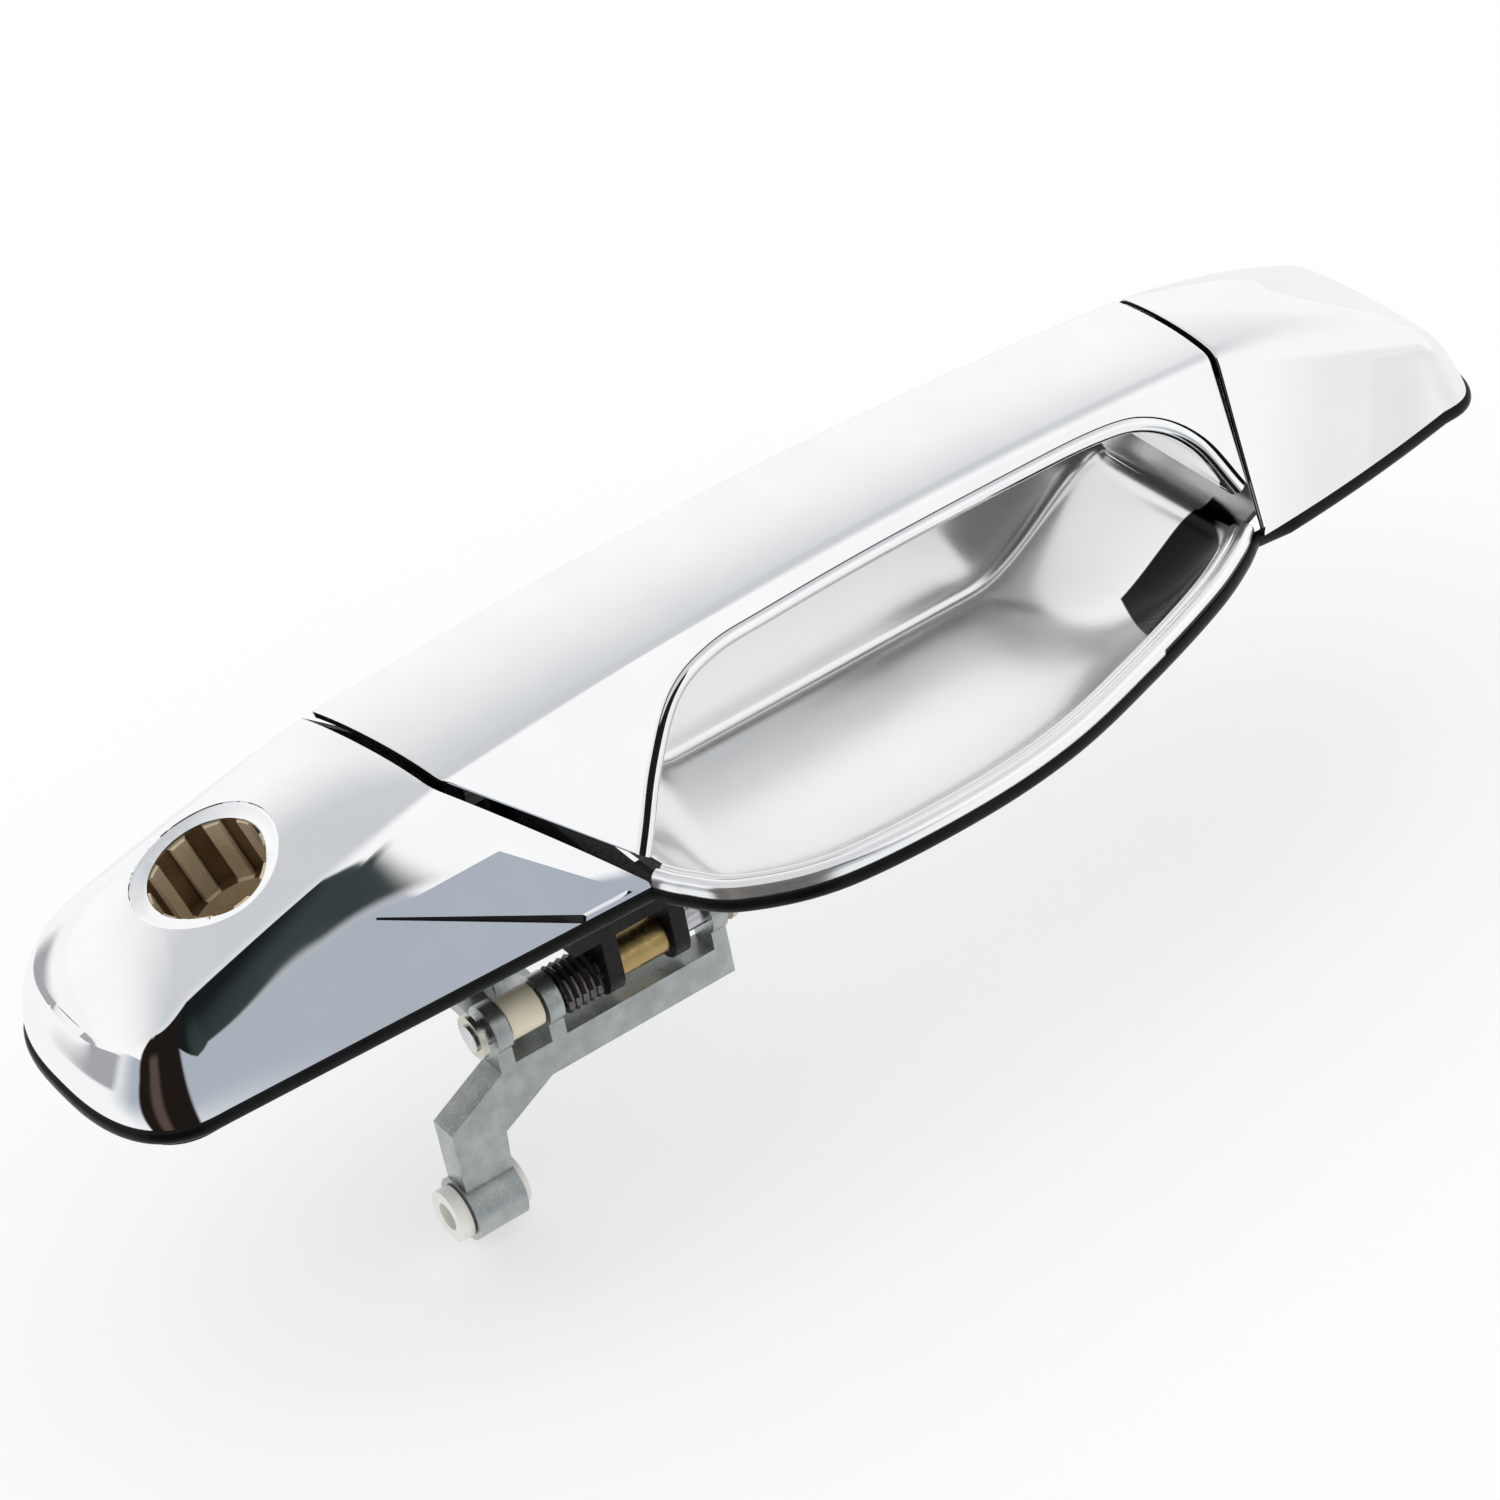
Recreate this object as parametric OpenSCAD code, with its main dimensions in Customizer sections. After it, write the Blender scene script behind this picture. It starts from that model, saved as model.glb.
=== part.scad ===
// Exterior pull handle for a car door, with a key cap, a hinged pull strap, a finger cup
// and the bell crank that works the latch rod.
// Millimetres. X runs along the handle toward the fixed cap, Y points up on the car and
// Z points out of the door. Z = 0 is the face of the gasket that lies on the door skin.

/* [Outline] */
// Length over both caps
overall_length = 283.8; // [282.8:0.5:284.8]
// Half the width of the caps where they meet the gasket
base_half_width = 25.5; // [25:0.5:26]
// Extra width of the key cap beside the cup
seam_flare = 3.2; // [2.5:0.1:3.5]
// Thickness of the gasket under the chrome
gasket_thickness = 2.5; // [2:0.5:3]
// Wall thickness of the chrome shells
shell_wall = 2; // [1.8:0.1:2.2]

/* [Strap] */
// Half the width of the strap at its key end, on the crease line
crease_half_key = 15.5; // [15:0.5:16]
// Half the width of the strap at its hinge end, on the crease line
crease_half_hinge = 12.5; // [12:0.5:13]
// How much further the crease lies on the upper side of the car
far_extra = 2; // [1.5:0.1:2]
// Height of the crease line at the strap's key end
crease_height = 32.5; // [32:0.5:33]
// Height of the crease line at the strap's hinge end
crease_height_hinge = 31.8; // [31.5:0.1:32]
// Slant of the key end's parting line across the top, over the strap's width
part_slant = 5; // [4:0.5:6]
// Rise of the strap's middle above its ends
strap_bow = 3.8; // [3:0.2:4]
// Height of the strap's crown above its crease line
crown_height = 1.3; // [1:0.1:1.5]
// Gap between the strap and the key cap
key_gap = 2.1; // [1.9:0.1:2.2]
// Gap between the strap and the fixed cap
hinge_gap = 1.4; // [1.3:0.1:1.6]
// Opening angle of the strap
strap_open = 5.5; // [4:0.5:5.5]

/* [Lock opening] */
// Radius of the bore that takes the lock cylinder
lock_bore_r = 10; // [9.5:0.5:10]
// Lean of the lock axis toward the nose
lock_lean = 15; // [14:1:16]

/* [Bell crank] */
// Radius of the cross pin
crank_pin_r = 2.5; // [2.5:0.1:2.5]
// Length of the input arm, pin to tip
input_arm = 20; // [20:1:20]

/* [Fasteners] */
// Radius of the mounting studs
stud_r = 3; // [3:0.5:3]
// How far the studs reach behind the gasket
stud_reach = 17; // [14:1:17]

/* [Hidden] */

chrome_colour = [0.86, 0.88, 0.9];
black_colour = [0.08, 0.07, 0.07];
zinc_colour = [0.62, 0.65, 0.64];
steel_colour = [0.7, 0.7, 0.72];
sleeve_colour = [0.55, 0.47, 0.33];
nylon_colour = [0.93, 0.92, 0.86];
brass_colour = [0.75, 0.6, 0.3];

round_fn = 48;
clear = 0.3;
key_end_x = -141.3;
tip_end_x = key_end_x + overall_length;
seal_z = gasket_thickness;
part_key_x = -73;
part_hinge_x = 91;
seam_x = -44;
wall_draft = (base_half_width + seam_flare - crease_half_key) / (crease_height - seal_z);

// Key cap
nose_centre_x = -125;
nose_reach = nose_centre_x - key_end_x;
nose_lip_z = 11.5;
nose_power = 2.6;
spine_key_x = -118;
spine_fall = 0.0038;
key_crease_drop = 12;

// Fixed cap
tip_centre_x = 132;
tip_reach = tip_end_x - tip_centre_x;
tip_lip_z = 11;
tip_power = 3.2;
spine_fixed_x = 116;
fixed_fall = 17;
fixed_fall_power = 2.3;
fixed_crease_fall = 12.5;
fixed_crease_half_end = 16;
hinge_foot_x = 86.5;
hinge_half_width = 26.9;
fixed_taper = 0.045;
fixed_curve = 0.0017;

// Width of the gasket inside the chrome's outline
gasket_land = 1.4;

// Cup
cup_floor_z = -11;
cup_back_y = 13;
rim_r = 1.4;
rim_z = 4;
flange_y = 25;
flange_z = rim_z + shell_wall - 1.4;
ledge_from_x = 82.3;
ledge_half = 23.1;

// Strap hinge and crank
hinge_x = 98;
hinge_z = 25;
hinge_pin_r = 2.2;
crank_y = -10;
crank_z = -23;
leg_x = -60;
lift = (hinge_x - leg_x) * sin(strap_open);
half_swing = asin(lift / 2 / input_arm);
rod_eye = [-79.2, crank_y, -55.4];

// Chassis
plate_top_z = 4;
plate_bottom_z = -4;
stud_x = [-100, 112];
stud_y = 12;
stud_neck_r = stud_r - 0.3;
neck_from_z = plate_bottom_z - 0.6;
cap_screw_at = [[-126, 0, 19], [-88, 12, 30], [-88, -12, 30]];
housing_screw_at = [[118, 7, 24.6], [118, -7, 24.6]];

// ---- Helper functions ----
function lerp(a, b, t) = a + (b - a) * t;
function unit(v) = v / norm(v);
function bend(a, b, c, t) = a * (1 - t) * (1 - t) + b * 2 * t * (1 - t) + c * t * t;
function bend3(a, b, c, d, t) =
    a * pow(1 - t, 3) + b * 3 * t * pow(1 - t, 2) + c * 3 * t * t * (1 - t) + d * pow(t, 3);
function signed_pow(v, p) = sign(v) * pow(abs(v), p);
function flatten(rows) = [for (row = rows) for (p = row) p];
function reversed(row) = [for (k = [len(row) - 1:-1:0]) row[k]];

// Smooth curve through a list of points; t runs from 0 to 1
function through(points, t) =
    let (
        spans = len(points) - 1,
        k = min(floor(t * spans), spans - 1),
        f = t * spans - k,
        b = points[k],
        c = points[k + 1],
        a = k > 0 ? points[k - 1] : 2 * b - c,
        d = k < spans - 1 ? points[k + 2] : 2 * c - b
    )
    b + (c - a) * f / 2 + (2 * a - 5 * b + 4 * c - d) * f * f / 2
        + (3 * b - a - 3 * c + d) * f * f * f / 2;

// One cross-section from the base up the wall, round the crease and over to the spine
wall_steps = 2;
corner_steps = 3;
top_steps = 3;
function section(base, crease, lifted, spine, radius) =
    let (
        below = crease + unit(base - crease) * radius,
        beyond = crease + unit(lifted - crease) * radius
    )
    concat(
        [for (k = [0:wall_steps - 1]) lerp(base, below, k / wall_steps)],
        [for (k = [0:corner_steps]) bend(below, crease, beyond, k / corner_steps)],
        [for (k = [1:top_steps]) bend(beyond, lifted, spine, k / top_steps)]
    );

// The same section moved inward by the wall thickness, seen along its heading
function inward(row, heading, wall) = [
    for (k = [0:len(row) - 1])
        let (
            step = row[min(k + 1, len(row) - 1)] - row[max(k - 1, 0)],
            along = step[0] * heading[0] + step[1] * heading[1],
            size = sqrt(along * along + step[2] * step[2])
        )
        row[k] + [
            heading[0] * wall * step[2] / size,
            heading[1] * wall * step[2] / size,
            k == 0 ? 0 : -wall * along / size
        ]
];

// ---- Key cap and fixed cap ----
function key_spine_z(x) =
    crease_height + crown_height - spine_fall * pow(part_key_x - x, 2);
function key_crease_z(s) = crease_height - key_crease_drop * pow(s, 1.15);
// Half width of the wall at height z; side is 1 for the far side and -1 for the near side
function wall_y(z, side, s) =
    lerp(base_half_width + (side < 0 ? seam_flare * (1 - s) : 0),
        crease_half_key + (side > 0 ? far_extra : 0),
        (z - seal_z) / (crease_height - seal_z));
function parting_x(y) = part_key_x - part_slant * (y + crease_half_key) / (2 * crease_half_key);

function key_side(s, side) =
    let (
        z = key_crease_z(s),
        spine_x = lerp(parting_x(0), spine_key_x, s),
        crease_y = side * wall_y(z, side, s),
        crease = [lerp(parting_x(crease_y), nose_centre_x + 1, s), crease_y, z],
        spine = [spine_x, 0, key_spine_z(spine_x)],
        slope = 2 * spine_fall * (part_key_x - spine_x),
        mid_x = lerp(crease[0], spine_x, 0.5)
    )
    section(
        [
            lerp(seam_x + (side > 0 ? parting_x(crease_y) - part_key_x : 0), nose_centre_x, s),
            side * wall_y(seal_z, side, s), seal_z
        ],
        crease,
        [mid_x, crease[1] / 2, spine[2] + slope * (mid_x - spine_x)],
        spine,
        2 + 2.5 * s
    );

function key_nose(angle) =
    let (
        across = signed_pow(cos(angle), 2 / nose_power),
        ahead = pow(sin(angle), 2 / nose_power),
        z = lerp(key_crease_z(1), nose_lip_z, ahead),
        crease = [
            nose_centre_x + 1 - (nose_reach - 0.8) * ahead,
            across * lerp(wall_y(key_crease_z(1), across, 1), base_half_width - 2, ahead),
            z
        ],
        spine = [spine_key_x, 0, key_spine_z(spine_key_x)],
        slope = 2 * spine_fall * (part_key_x - spine_key_x),
        mid_x = lerp(crease[0], spine[0], 0.5)
    )
    section(
        [nose_centre_x - nose_reach * ahead, across * base_half_width, seal_z],
        crease,
        [mid_x, crease[1] / 2, spine[2] + slope * (mid_x - spine[0])],
        spine,
        4.5 - 2 * ahead
    );

function fixed_half_width(x) =
    let (d = x - hinge_foot_x)
    hinge_half_width - fixed_taper * d - fixed_curve * d * d;
function fixed_drop(x) = pow((x - part_hinge_x) / (tip_centre_x - part_hinge_x), fixed_fall_power);
function fixed_spine_z(x) = crease_height_hinge + crown_height - fixed_fall * fixed_drop(x);
function fixed_slope(x) =
    -fixed_fall * fixed_fall_power * fixed_drop(x) / max(x - part_hinge_x, 0.01);
function fixed_crease_z(s) = crease_height_hinge - fixed_crease_fall * pow(s, 1.3);
function fixed_crease_half(s, side) =
    lerp(crease_half_hinge + (side > 0 ? far_extra : 0), fixed_crease_half_end, s);

function fixed_side(s, side) =
    let (
        z = fixed_crease_z(s),
        base_x = lerp(hinge_foot_x, tip_centre_x, s),
        spine_x = lerp(part_hinge_x, spine_fixed_x, s),
        crease = [lerp(part_hinge_x, tip_centre_x - 1, s), side * fixed_crease_half(s, side), z],
        spine = [spine_x, 0, fixed_spine_z(spine_x)],
        slope = fixed_slope(spine_x),
        mid_x = lerp(crease[0], spine_x, 0.5)
    )
    section(
        [base_x, side * fixed_half_width(base_x), seal_z],
        crease,
        [mid_x, crease[1] / 2, spine[2] + slope * (mid_x - spine_x)],
        spine,
        2 + 5 * s
    );

function fixed_tip(angle) =
    let (
        across = signed_pow(cos(angle), 2 / tip_power),
        ahead = pow(sin(angle), 2 / tip_power),
        z = lerp(fixed_crease_z(1), tip_lip_z, ahead),
        crease = [tip_centre_x - 1 + (tip_reach - 1.5) * ahead, across * (fixed_crease_half_end + ahead), z],
        spine = [spine_fixed_x, 0, fixed_spine_z(spine_fixed_x)],
        slope = fixed_slope(spine_fixed_x),
        mid_x = lerp(crease[0], spine[0], 0.5)
    )
    section(
        [tip_centre_x + tip_reach * ahead, across * fixed_half_width(tip_centre_x), seal_z],
        crease,
        [mid_x, crease[1] / 2, spine[2] + slope * (mid_x - spine[0])],
        spine,
        7 - 1.5 * ahead
    );

side_rows = 7;
end_rows = 12;
cap_rows = 2 * side_rows + end_rows;

// Section number k of a cap: up one side, round the end and back along the other side
function key_row(k) =
    k < side_rows ? key_side(k / side_rows, 1)
    : k > cap_rows - side_rows ? key_side((cap_rows - k) / side_rows, -1)
    : key_nose(180 * (k - side_rows) / end_rows);
function fixed_row(k) =
    k < side_rows ? fixed_side(k / side_rows, 1)
    : k > cap_rows - side_rows ? fixed_side((cap_rows - k) / side_rows, -1)
    : fixed_tip(180 * (k - side_rows) / end_rows);
function cap_heading(k, ahead) =
    k < side_rows ? [0, -1]
    : k > cap_rows - side_rows ? [0, 1]
    : [-ahead * sin(180 * (k - side_rows) / end_rows), -cos(180 * (k - side_rows) / end_rows)];

// A cap's shell. Both sides share their spine points, and all end sections meet in one.
module cap_shell(outer, inner, ahead) {
    last = len(outer[0]) - 1;
    width = last + 1;
    count = len(outer) * width;
    function at(i, j, skin) =
        skin * count + (j < last ? i : min(i, cap_rows - i, side_rows)) * width + j;
    skins = [
        for (skin = [0, 1], i = [0:cap_rows - 1], j = [0:last - 1])
            for (half = [0, 1])
                let (
                    a = at(i, j, skin),
                    b = half == 0 ? at(i + 1, j, skin) : at(i + 1, j + 1, skin),
                    c = half == 0 ? at(i + 1, j + 1, skin) : at(i, j + 1, skin)
                )
                if (a != b && b != c && c != a)
                    (skin == 0) == (ahead > 0) ? [a, b, c] : [c, b, a]
    ];
    edge = concat(
        [for (j = [last:-1:0]) [0, j]],
        [for (i = [1:cap_rows]) [i, 0]],
        [for (j = [1:last]) [cap_rows, j]]
    );
    rim = [
        for (k = [0:len(edge) - 2])
            for (half = [0, 1])
                let (
                    a = at(edge[k][0], edge[k][1], 0),
                    b = at(edge[k + 1][0], edge[k + 1][1], 0),
                    c = at(edge[k + 1][0], edge[k + 1][1], 1),
                    d = at(edge[k][0], edge[k][1], 1)
                )
                ahead > 0
                    ? (half == 0 ? [c, b, a] : [d, c, a])
                    : (half == 0 ? [a, b, c] : [a, c, d])
    ];
    polyhedron(concat(flatten(outer), flatten(inner)), concat(skins, rim));
}

module lock_axis() {
    x = -108;
    translate([x, 0, key_spine_z(x)]) rotate([0, -lock_lean, 0]) children();
}

module screw_bosses(places) {
    for (p = places)
        translate([p[0], p[1], plate_top_z + clear])
            difference() {
                cylinder(r = 3.5, h = p[2] - plate_top_z, $fn = round_fn);
                translate([0, 0, -1]) cylinder(r = 1.3, h = 9, $fn = round_fn);
            }
}

module key_cap() {
    rows = [for (k = [0:cap_rows]) key_row(k)];
    backs = [for (k = [0:cap_rows]) inward(rows[k], cap_heading(k, -1), shell_wall)];
    color(chrome_colour) {
        difference() {
            cap_shell(rows, backs, -1);
            lock_axis() {
                translate([0, 0, -10]) cylinder(r = lock_bore_r + 0.3, h = 20, $fn = round_fn);
                translate([0, 0, -1.2])
                    cylinder(r1 = lock_bore_r + 0.3, r2 = lock_bore_r + 7, h = 2.8, $fn = round_fn);
            }
            side_facet();
        }
        screw_bosses(cap_screw_at);
    }
}

// Shallow facet cut into the near wall beside the strap
facet = [[-90, 18.6], [-66.5, 18.9], [-48, 3.2], [-57, 3.2]];
module side_facet() {
    deep = 0.8;
    translate([0, -wall_y(seal_z, -1, 0.25), seal_z])
        rotate([90 - atan(wall_draft), 0, 0])
            translate([0, 0, -deep])
                linear_extrude(3)
                    polygon([for (p = facet) [p[0], (p[1] - seal_z) / cos(atan(wall_draft))]]);
}

// Sleeve under the lock opening: a clear bore for the lock, and ribs that stop it below
module lock_sleeve() {
    deep = 18.4;
    below_cap = 3.7;
    rib_top = deep - 12;
    slots = 5;
    color(sleeve_colour)
        lock_axis()
            translate([0, 0, -deep - below_cap])
                difference() {
                    union() {
                        difference() {
                            cylinder(r = lock_bore_r + 1.6, h = deep, $fn = round_fn);
                            translate([0, 0, rib_top])
                                cylinder(r = lock_bore_r, h = deep, $fn = round_fn);
                            translate([0, 0, 2])
                                cylinder(r = lock_bore_r - 0.6, h = deep, $fn = round_fn);
                        }
                        for (k = [0:slots - 1])
                            rotate([0, 0, 36 + 72 * k])
                                translate([lock_bore_r - 2.8, -2, 1])
                                    cube([3, 4, rib_top - 1.4]);
                    }
                    for (k = [0:slots - 1])
                        rotate([0, 0, 72 * k])
                            translate([lock_bore_r - 1, -1.1, 4]) cube([4, 2.2, deep]);
                    translate([0, 0, -1]) cylinder(r = 4, h = 4, $fn = round_fn);
                }
}

// ---- Strap ----
function crown_z(x) =
    let (d = (x - (part_key_x + part_hinge_x) / 2) / ((part_hinge_x - part_key_x) / 2))
    lerp(crease_height, crease_height_hinge, (d + 1) / 2) + strap_bow * (1 - d * d);
function along(x) = (x - part_key_x) / (part_hinge_x - part_key_x);
function crease_half(x, side) =
    lerp(crease_half_key, crease_half_hinge, along(x)) + (side > 0 ? far_extra : 0);
function foot_half(x, side) =
    lerp(base_half_width + (side < 0 ? seam_flare : 0), hinge_half_width, along(x));

// Lower edge of the strap: [x on top, x on the edge, z on the edge]
strap_edge = [
    [part_key_x + key_gap, -42, 6], [-63, -39.5, 9.5], [-52, -34, 17.5], [-41, -26.5, 25.5],
    [-28, -18, 28.6], [-10, -7, 29.2], [15, 15, 29.5], [42, 42, 29], [63, 63, 28],
    [74, 73, 25.5], [82, 80, 19.5], [part_hinge_x - hinge_gap, 84.2, 10]
];
strap_rows = 24;
function strap_point(t) = through(strap_edge, t);

function strap_half(t, side, rise) =
    let (
        p = strap_point(t),
        ahead = strap_point(min(t + 0.01, 1)) - strap_point(max(t - 0.01, 0)),
        lean = unit([-ahead[2], ahead[1]]),
        x = p[1] + lean[0] * rise,
        z = p[2] + lean[1] * rise,
        top_z = crown_z(p[0]),
        half = crease_half(p[0], side),
        wide = lerp(foot_half(p[0], side), half, (z - seal_z) / (top_z - seal_z)),
        slant = 1 - ramp(p[0], part_key_x, 0),
        side_x = p[0] + slant * (parting_x(side * half) - part_key_x),
        spine_x = p[0] + slant * (parting_x(0) - part_key_x)
    )
    section(
        [x + (side > 0 ? slant * (parting_x(half) - part_key_x) : 0), side * wide, z],
        [side_x, side * half, top_z],
        [(side_x + spine_x) / 2, side * half / 2, top_z + crown_height],
        [spine_x, 0, top_z + crown_height],
        1.6
    );

// A whole section of the strap from its far edge to its near edge, moved inward by wall
function strap_row(t, rise, wall) =
    let (
        far = strap_half(t, 1, rise),
        near = strap_half(t, -1, rise),
        last = len(far) - 1
    )
    concat(
        wall > 0 ? inward(far, [0, -1], wall) : far,
        [for (k = [last - 1:-1:0]) (wall > 0 ? inward(near, [0, 1], wall) : near)[k]]
    );

// Solid through a list of closed loops, closed at both ends
module loft(rows) {
    width = len(rows[0]);
    last = len(rows) - 1;
    sides = [
        for (i = [0:last - 1], j = [0:width - 1])
            for (half = [0, 1])
                let (
                    n = (j + 1) % width,
                    a = i * width + j,
                    b = (i + 1) * width + j,
                    c = (i + 1) * width + n,
                    d = i * width + n
                )
                half == 0 ? [c, b, a] : [d, c, a]
    ];
    start = [for (j = [width - 1:-1:0]) j];
    end = [for (j = [0:width - 1]) last * width + j];
    polyhedron(flatten(rows), concat(sides, [start, end]));
}

// Solid of constant thickness through two matching grids, joined by triangles all round
module skin_pair(front, back) {
    high = len(front) - 1;
    wide = len(front[0]) - 1;
    count = (high + 1) * (wide + 1);
    function at(i, j, skin) = skin * count + i * (wide + 1) + j;
    skins = [
        for (skin = [0, 1], i = [0:high - 1], j = [0:wide - 1])
            for (half = [0, 1])
                let (
                    a = at(i, j, skin),
                    b = half == 0 ? at(i + 1, j, skin) : at(i + 1, j + 1, skin),
                    c = half == 0 ? at(i + 1, j + 1, skin) : at(i, j + 1, skin)
                )
                skin == 0 ? [a, b, c] : [c, b, a]
    ];
    edge = concat(
        [for (j = [0:wide]) [0, j]],
        [for (i = [1:high]) [i, wide]],
        [for (j = [wide - 1:-1:0]) [high, j]],
        [for (i = [high - 1:-1:0]) [i, 0]]
    );
    rim = [
        for (k = [0:len(edge) - 2])
            for (half = [0, 1])
                let (
                    a = at(edge[k][0], edge[k][1], 0),
                    b = at(edge[k + 1][0], edge[k + 1][1], 0),
                    c = at(edge[k + 1][0], edge[k + 1][1], 1),
                    d = at(edge[k][0], edge[k][1], 1)
                )
                half == 0 ? [a, b, c] : [a, c, d]
    ];
    polyhedron(concat(flatten(front), flatten(back)), concat(skins, rim));
}

liner_edge = 3;
module strap_cover() {
    color(chrome_colour)
        skin_pair(
            [for (k = [0:strap_rows]) strap_row(k / strap_rows, liner_edge + 0.1, 0)],
            [for (k = [0:strap_rows]) strap_row(k / strap_rows, liner_edge + 0.1, shell_wall)]
        );
}

// One rib of the liner: a plate across the strap with rounded ends
function liner_loop(t) =
    let (
        p = strap_point(t),
        ahead = strap_point(min(t + 0.01, 1)) - strap_point(max(t - 0.01, 0)),
        lean = unit([-ahead[2], ahead[1]]),
        round = liner_edge / 2,
        slant = 1 - ramp(p[0], part_key_x, 0),
        steps = 4
    )
    [
        for (side = [1, -1], k = [0:steps])
            let (
                half = lerp(
                    foot_half(p[0], side), crease_half(p[0], side),
                    (p[2] - seal_z) / (crown_z(p[0]) - seal_z)
                ) - 0.3,
                shift = side > 0
                    ? slant * (parting_x(crease_half(p[0], side)) - part_key_x)
                    : 0,
                angle = side * (90 - 180 * k / steps),
                up = round * (1 + sin(angle)),
                out = side * (half - round + round * cos(angle))
            )
            [p[1] + shift + lean[0] * up, out, p[2] + lean[1] * up]
    ];

module strap_liner() {
    color(chrome_colour) loft([for (k = [0:strap_rows]) liner_loop(k / strap_rows)]);
}

core_half = 9.4;
block_bottom_z = 24;
function core_top_z(x) = crown_z(x) + crown_height - shell_wall - 1.1;
function core_under(t) =
    let (p = strap_point(t))
    [p[1], p[2] + liner_edge + 0.8];
module strap_core() {
    start_x = part_key_x + key_gap + 3;
    end_x = part_hinge_x - hinge_gap - 1;
    steps = 12;
    outline = concat(
        [for (k = [0:steps]) let (x = lerp(start_x, end_x, k / steps)) [x, core_top_z(x)]],
        [[hinge_x, hinge_z + 4], [hinge_x, hinge_z - 4], [86, 23.2]],
        [for (t = [0.78, 0.7, 0.6, 0.5, 0.4, 0.35]) core_under(t)],
        [[-50, block_bottom_z], [start_x, block_bottom_z]]
    );
    color(black_colour)
        difference() {
            union() {
                intersection() {
                    translate([0, core_half, 0]) rotate([90, 0, 0]) linear_extrude(2 * core_half)
                        polygon(outline);
                    union() {
                        translate([-90, -core_half, 0]) cube([170, 2 * core_half, 50]);
                        translate([0, -hinge_arm_half, 0]) cube([120, 2 * hinge_arm_half, 50]);
                    }
                }
                translate([hinge_x, hinge_arm_half, hinge_z]) rotate([90, 0, 0])
                    cylinder(r = 4, h = 2 * hinge_arm_half, $fn = round_fn);
            }
            translate([hinge_x, 20, hinge_z]) rotate([90, 0, 0])
                cylinder(r = hinge_pin_r + 1, h = 40, $fn = round_fn);
            for (p = strap_screw_at)
                translate([p[0], p[1], block_bottom_z - 1]) cylinder(r = 1.5, h = 7, $fn = round_fn);
        }
}

// ---- Strap hinge ----
hinge_arm_half = 6.3;
lug_in = 6.8;
lug_out = 9.8;
hinge_pin_half = 11.4;
module strap_pivot_pin() {
    color(steel_colour)
        translate([hinge_x, hinge_pin_half, hinge_z]) rotate([90, 0, 0])
            cylinder(r = hinge_pin_r, h = 2 * hinge_pin_half, $fn = round_fn);
}

module pivot_bushes() {
    long = 5;
    color(nylon_colour)
        for (side = [-1, 1])
            translate([hinge_x, side * (hinge_arm_half - long / 2), hinge_z]) rotate([90, 0, 0])
                difference() {
                    cylinder(r = hinge_pin_r + 1, h = long, center = true, $fn = round_fn);
                    cylinder(r = hinge_pin_r + 0.05, h = long + 1, center = true, $fn = round_fn);
                }
}

// ---- Pull leg ----
input_tip_r = 2.5;
foot_top_z = crank_z - input_arm * sin(half_swing) - input_tip_r - 1.2;
leg_near_y = 13.2;
leg_thick = 2.8;
leg_half = 3;
strap_screw_at = [[leg_x - 6, 6], [leg_x + 6, 6]];
module pull_leg() {
    color(zinc_colour)
        difference() {
            union() {
                translate([leg_x - 9, 2.5, block_bottom_z - 2.2])
                    cube([18, leg_near_y + leg_thick - 2.5, 2]);
                translate([leg_x - leg_half, leg_near_y, foot_top_z - 2.5])
                    cube([2 * leg_half, leg_thick, block_bottom_z - 0.2 - foot_top_z + 2.5]);
                translate([leg_x - 6, 6, foot_top_z - 2.5])
                    cube([14, leg_near_y + leg_thick - 6, 2.5]);
            }
            for (p = strap_screw_at)
                translate([p[0], p[1], block_bottom_z - 5]) cylinder(r = 1.6, h = 6, $fn = round_fn);
        }
}

slot_low = [leg_x - 9, leg_near_y - 1];
slot_size = [15, leg_thick + 2];
module leg_slot(grow, low, high) {
    translate([slot_low[0] - grow, slot_low[1] - grow, low])
        cube([slot_size[0] + 2 * grow, slot_size[1] + 2 * grow, high - low]);
}

module leg_guide() {
    color(nylon_colour)
        difference() {
            leg_slot(1.5, plate_top_z + 0.05, plate_top_z + 2);
            leg_slot(0, 0, 10);
        }
}

module strap_bumpers() {
    color(black_colour)
        for (p = bumper_at)
            translate([p[0], p[1], 17]) cylinder(r = 3, h = block_bottom_z - 17 - clear, $fn = round_fn);
}
bumper_at = [[-56, -5], [-66, -5]];

// ---- Outline of the base, seen from the front ----
cup_rim = [
    [-43.4, -28.5], [-41, -33.5], [-35, -41.4], [-20, -48.4], [5, -50.2], [27, -48],
    [49, -41.4], [68, -34.2], [78.4, -28.8], [84.4, -24.6]
];
rim_steps = 26;
function rim_point(t) = through(cup_rim, t);
function rim_out(t) =
    let (ahead = unit(rim_point(min(t + 0.01, 1)) - rim_point(max(t - 0.01, 0))))
    [ahead[1], -ahead[0]];

function base_outline(grow) = concat(
    [
        for (k = [0:16])
            let (angle = 180 * k / 16)
            [
                nose_centre_x - (nose_reach + grow) * pow(sin(angle), 2 / nose_power),
                (base_half_width + grow) * signed_pow(cos(angle), 2 / nose_power)
            ]
    ],
    [for (k = [0:rim_steps]) let (t = k / rim_steps) rim_point(t) + rim_out(t) * (grow + rim_r)],
    [for (x = [92:8:124]) [x, -fixed_half_width(x) - grow]],
    [
        for (k = [16:-1:0])
            let (angle = 180 * k / 16)
            [
                tip_centre_x + (tip_reach + grow) * pow(sin(angle), 2 / tip_power),
                (fixed_half_width(tip_centre_x) + grow) * signed_pow(cos(angle), 2 / tip_power)
            ]
    ],
    [for (x = [124:-8:92]) [x, fixed_half_width(x) + grow]],
    [[80, flange_y + 0.4 + grow], [-60, flange_y + 0.4 + grow]]
);

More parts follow.
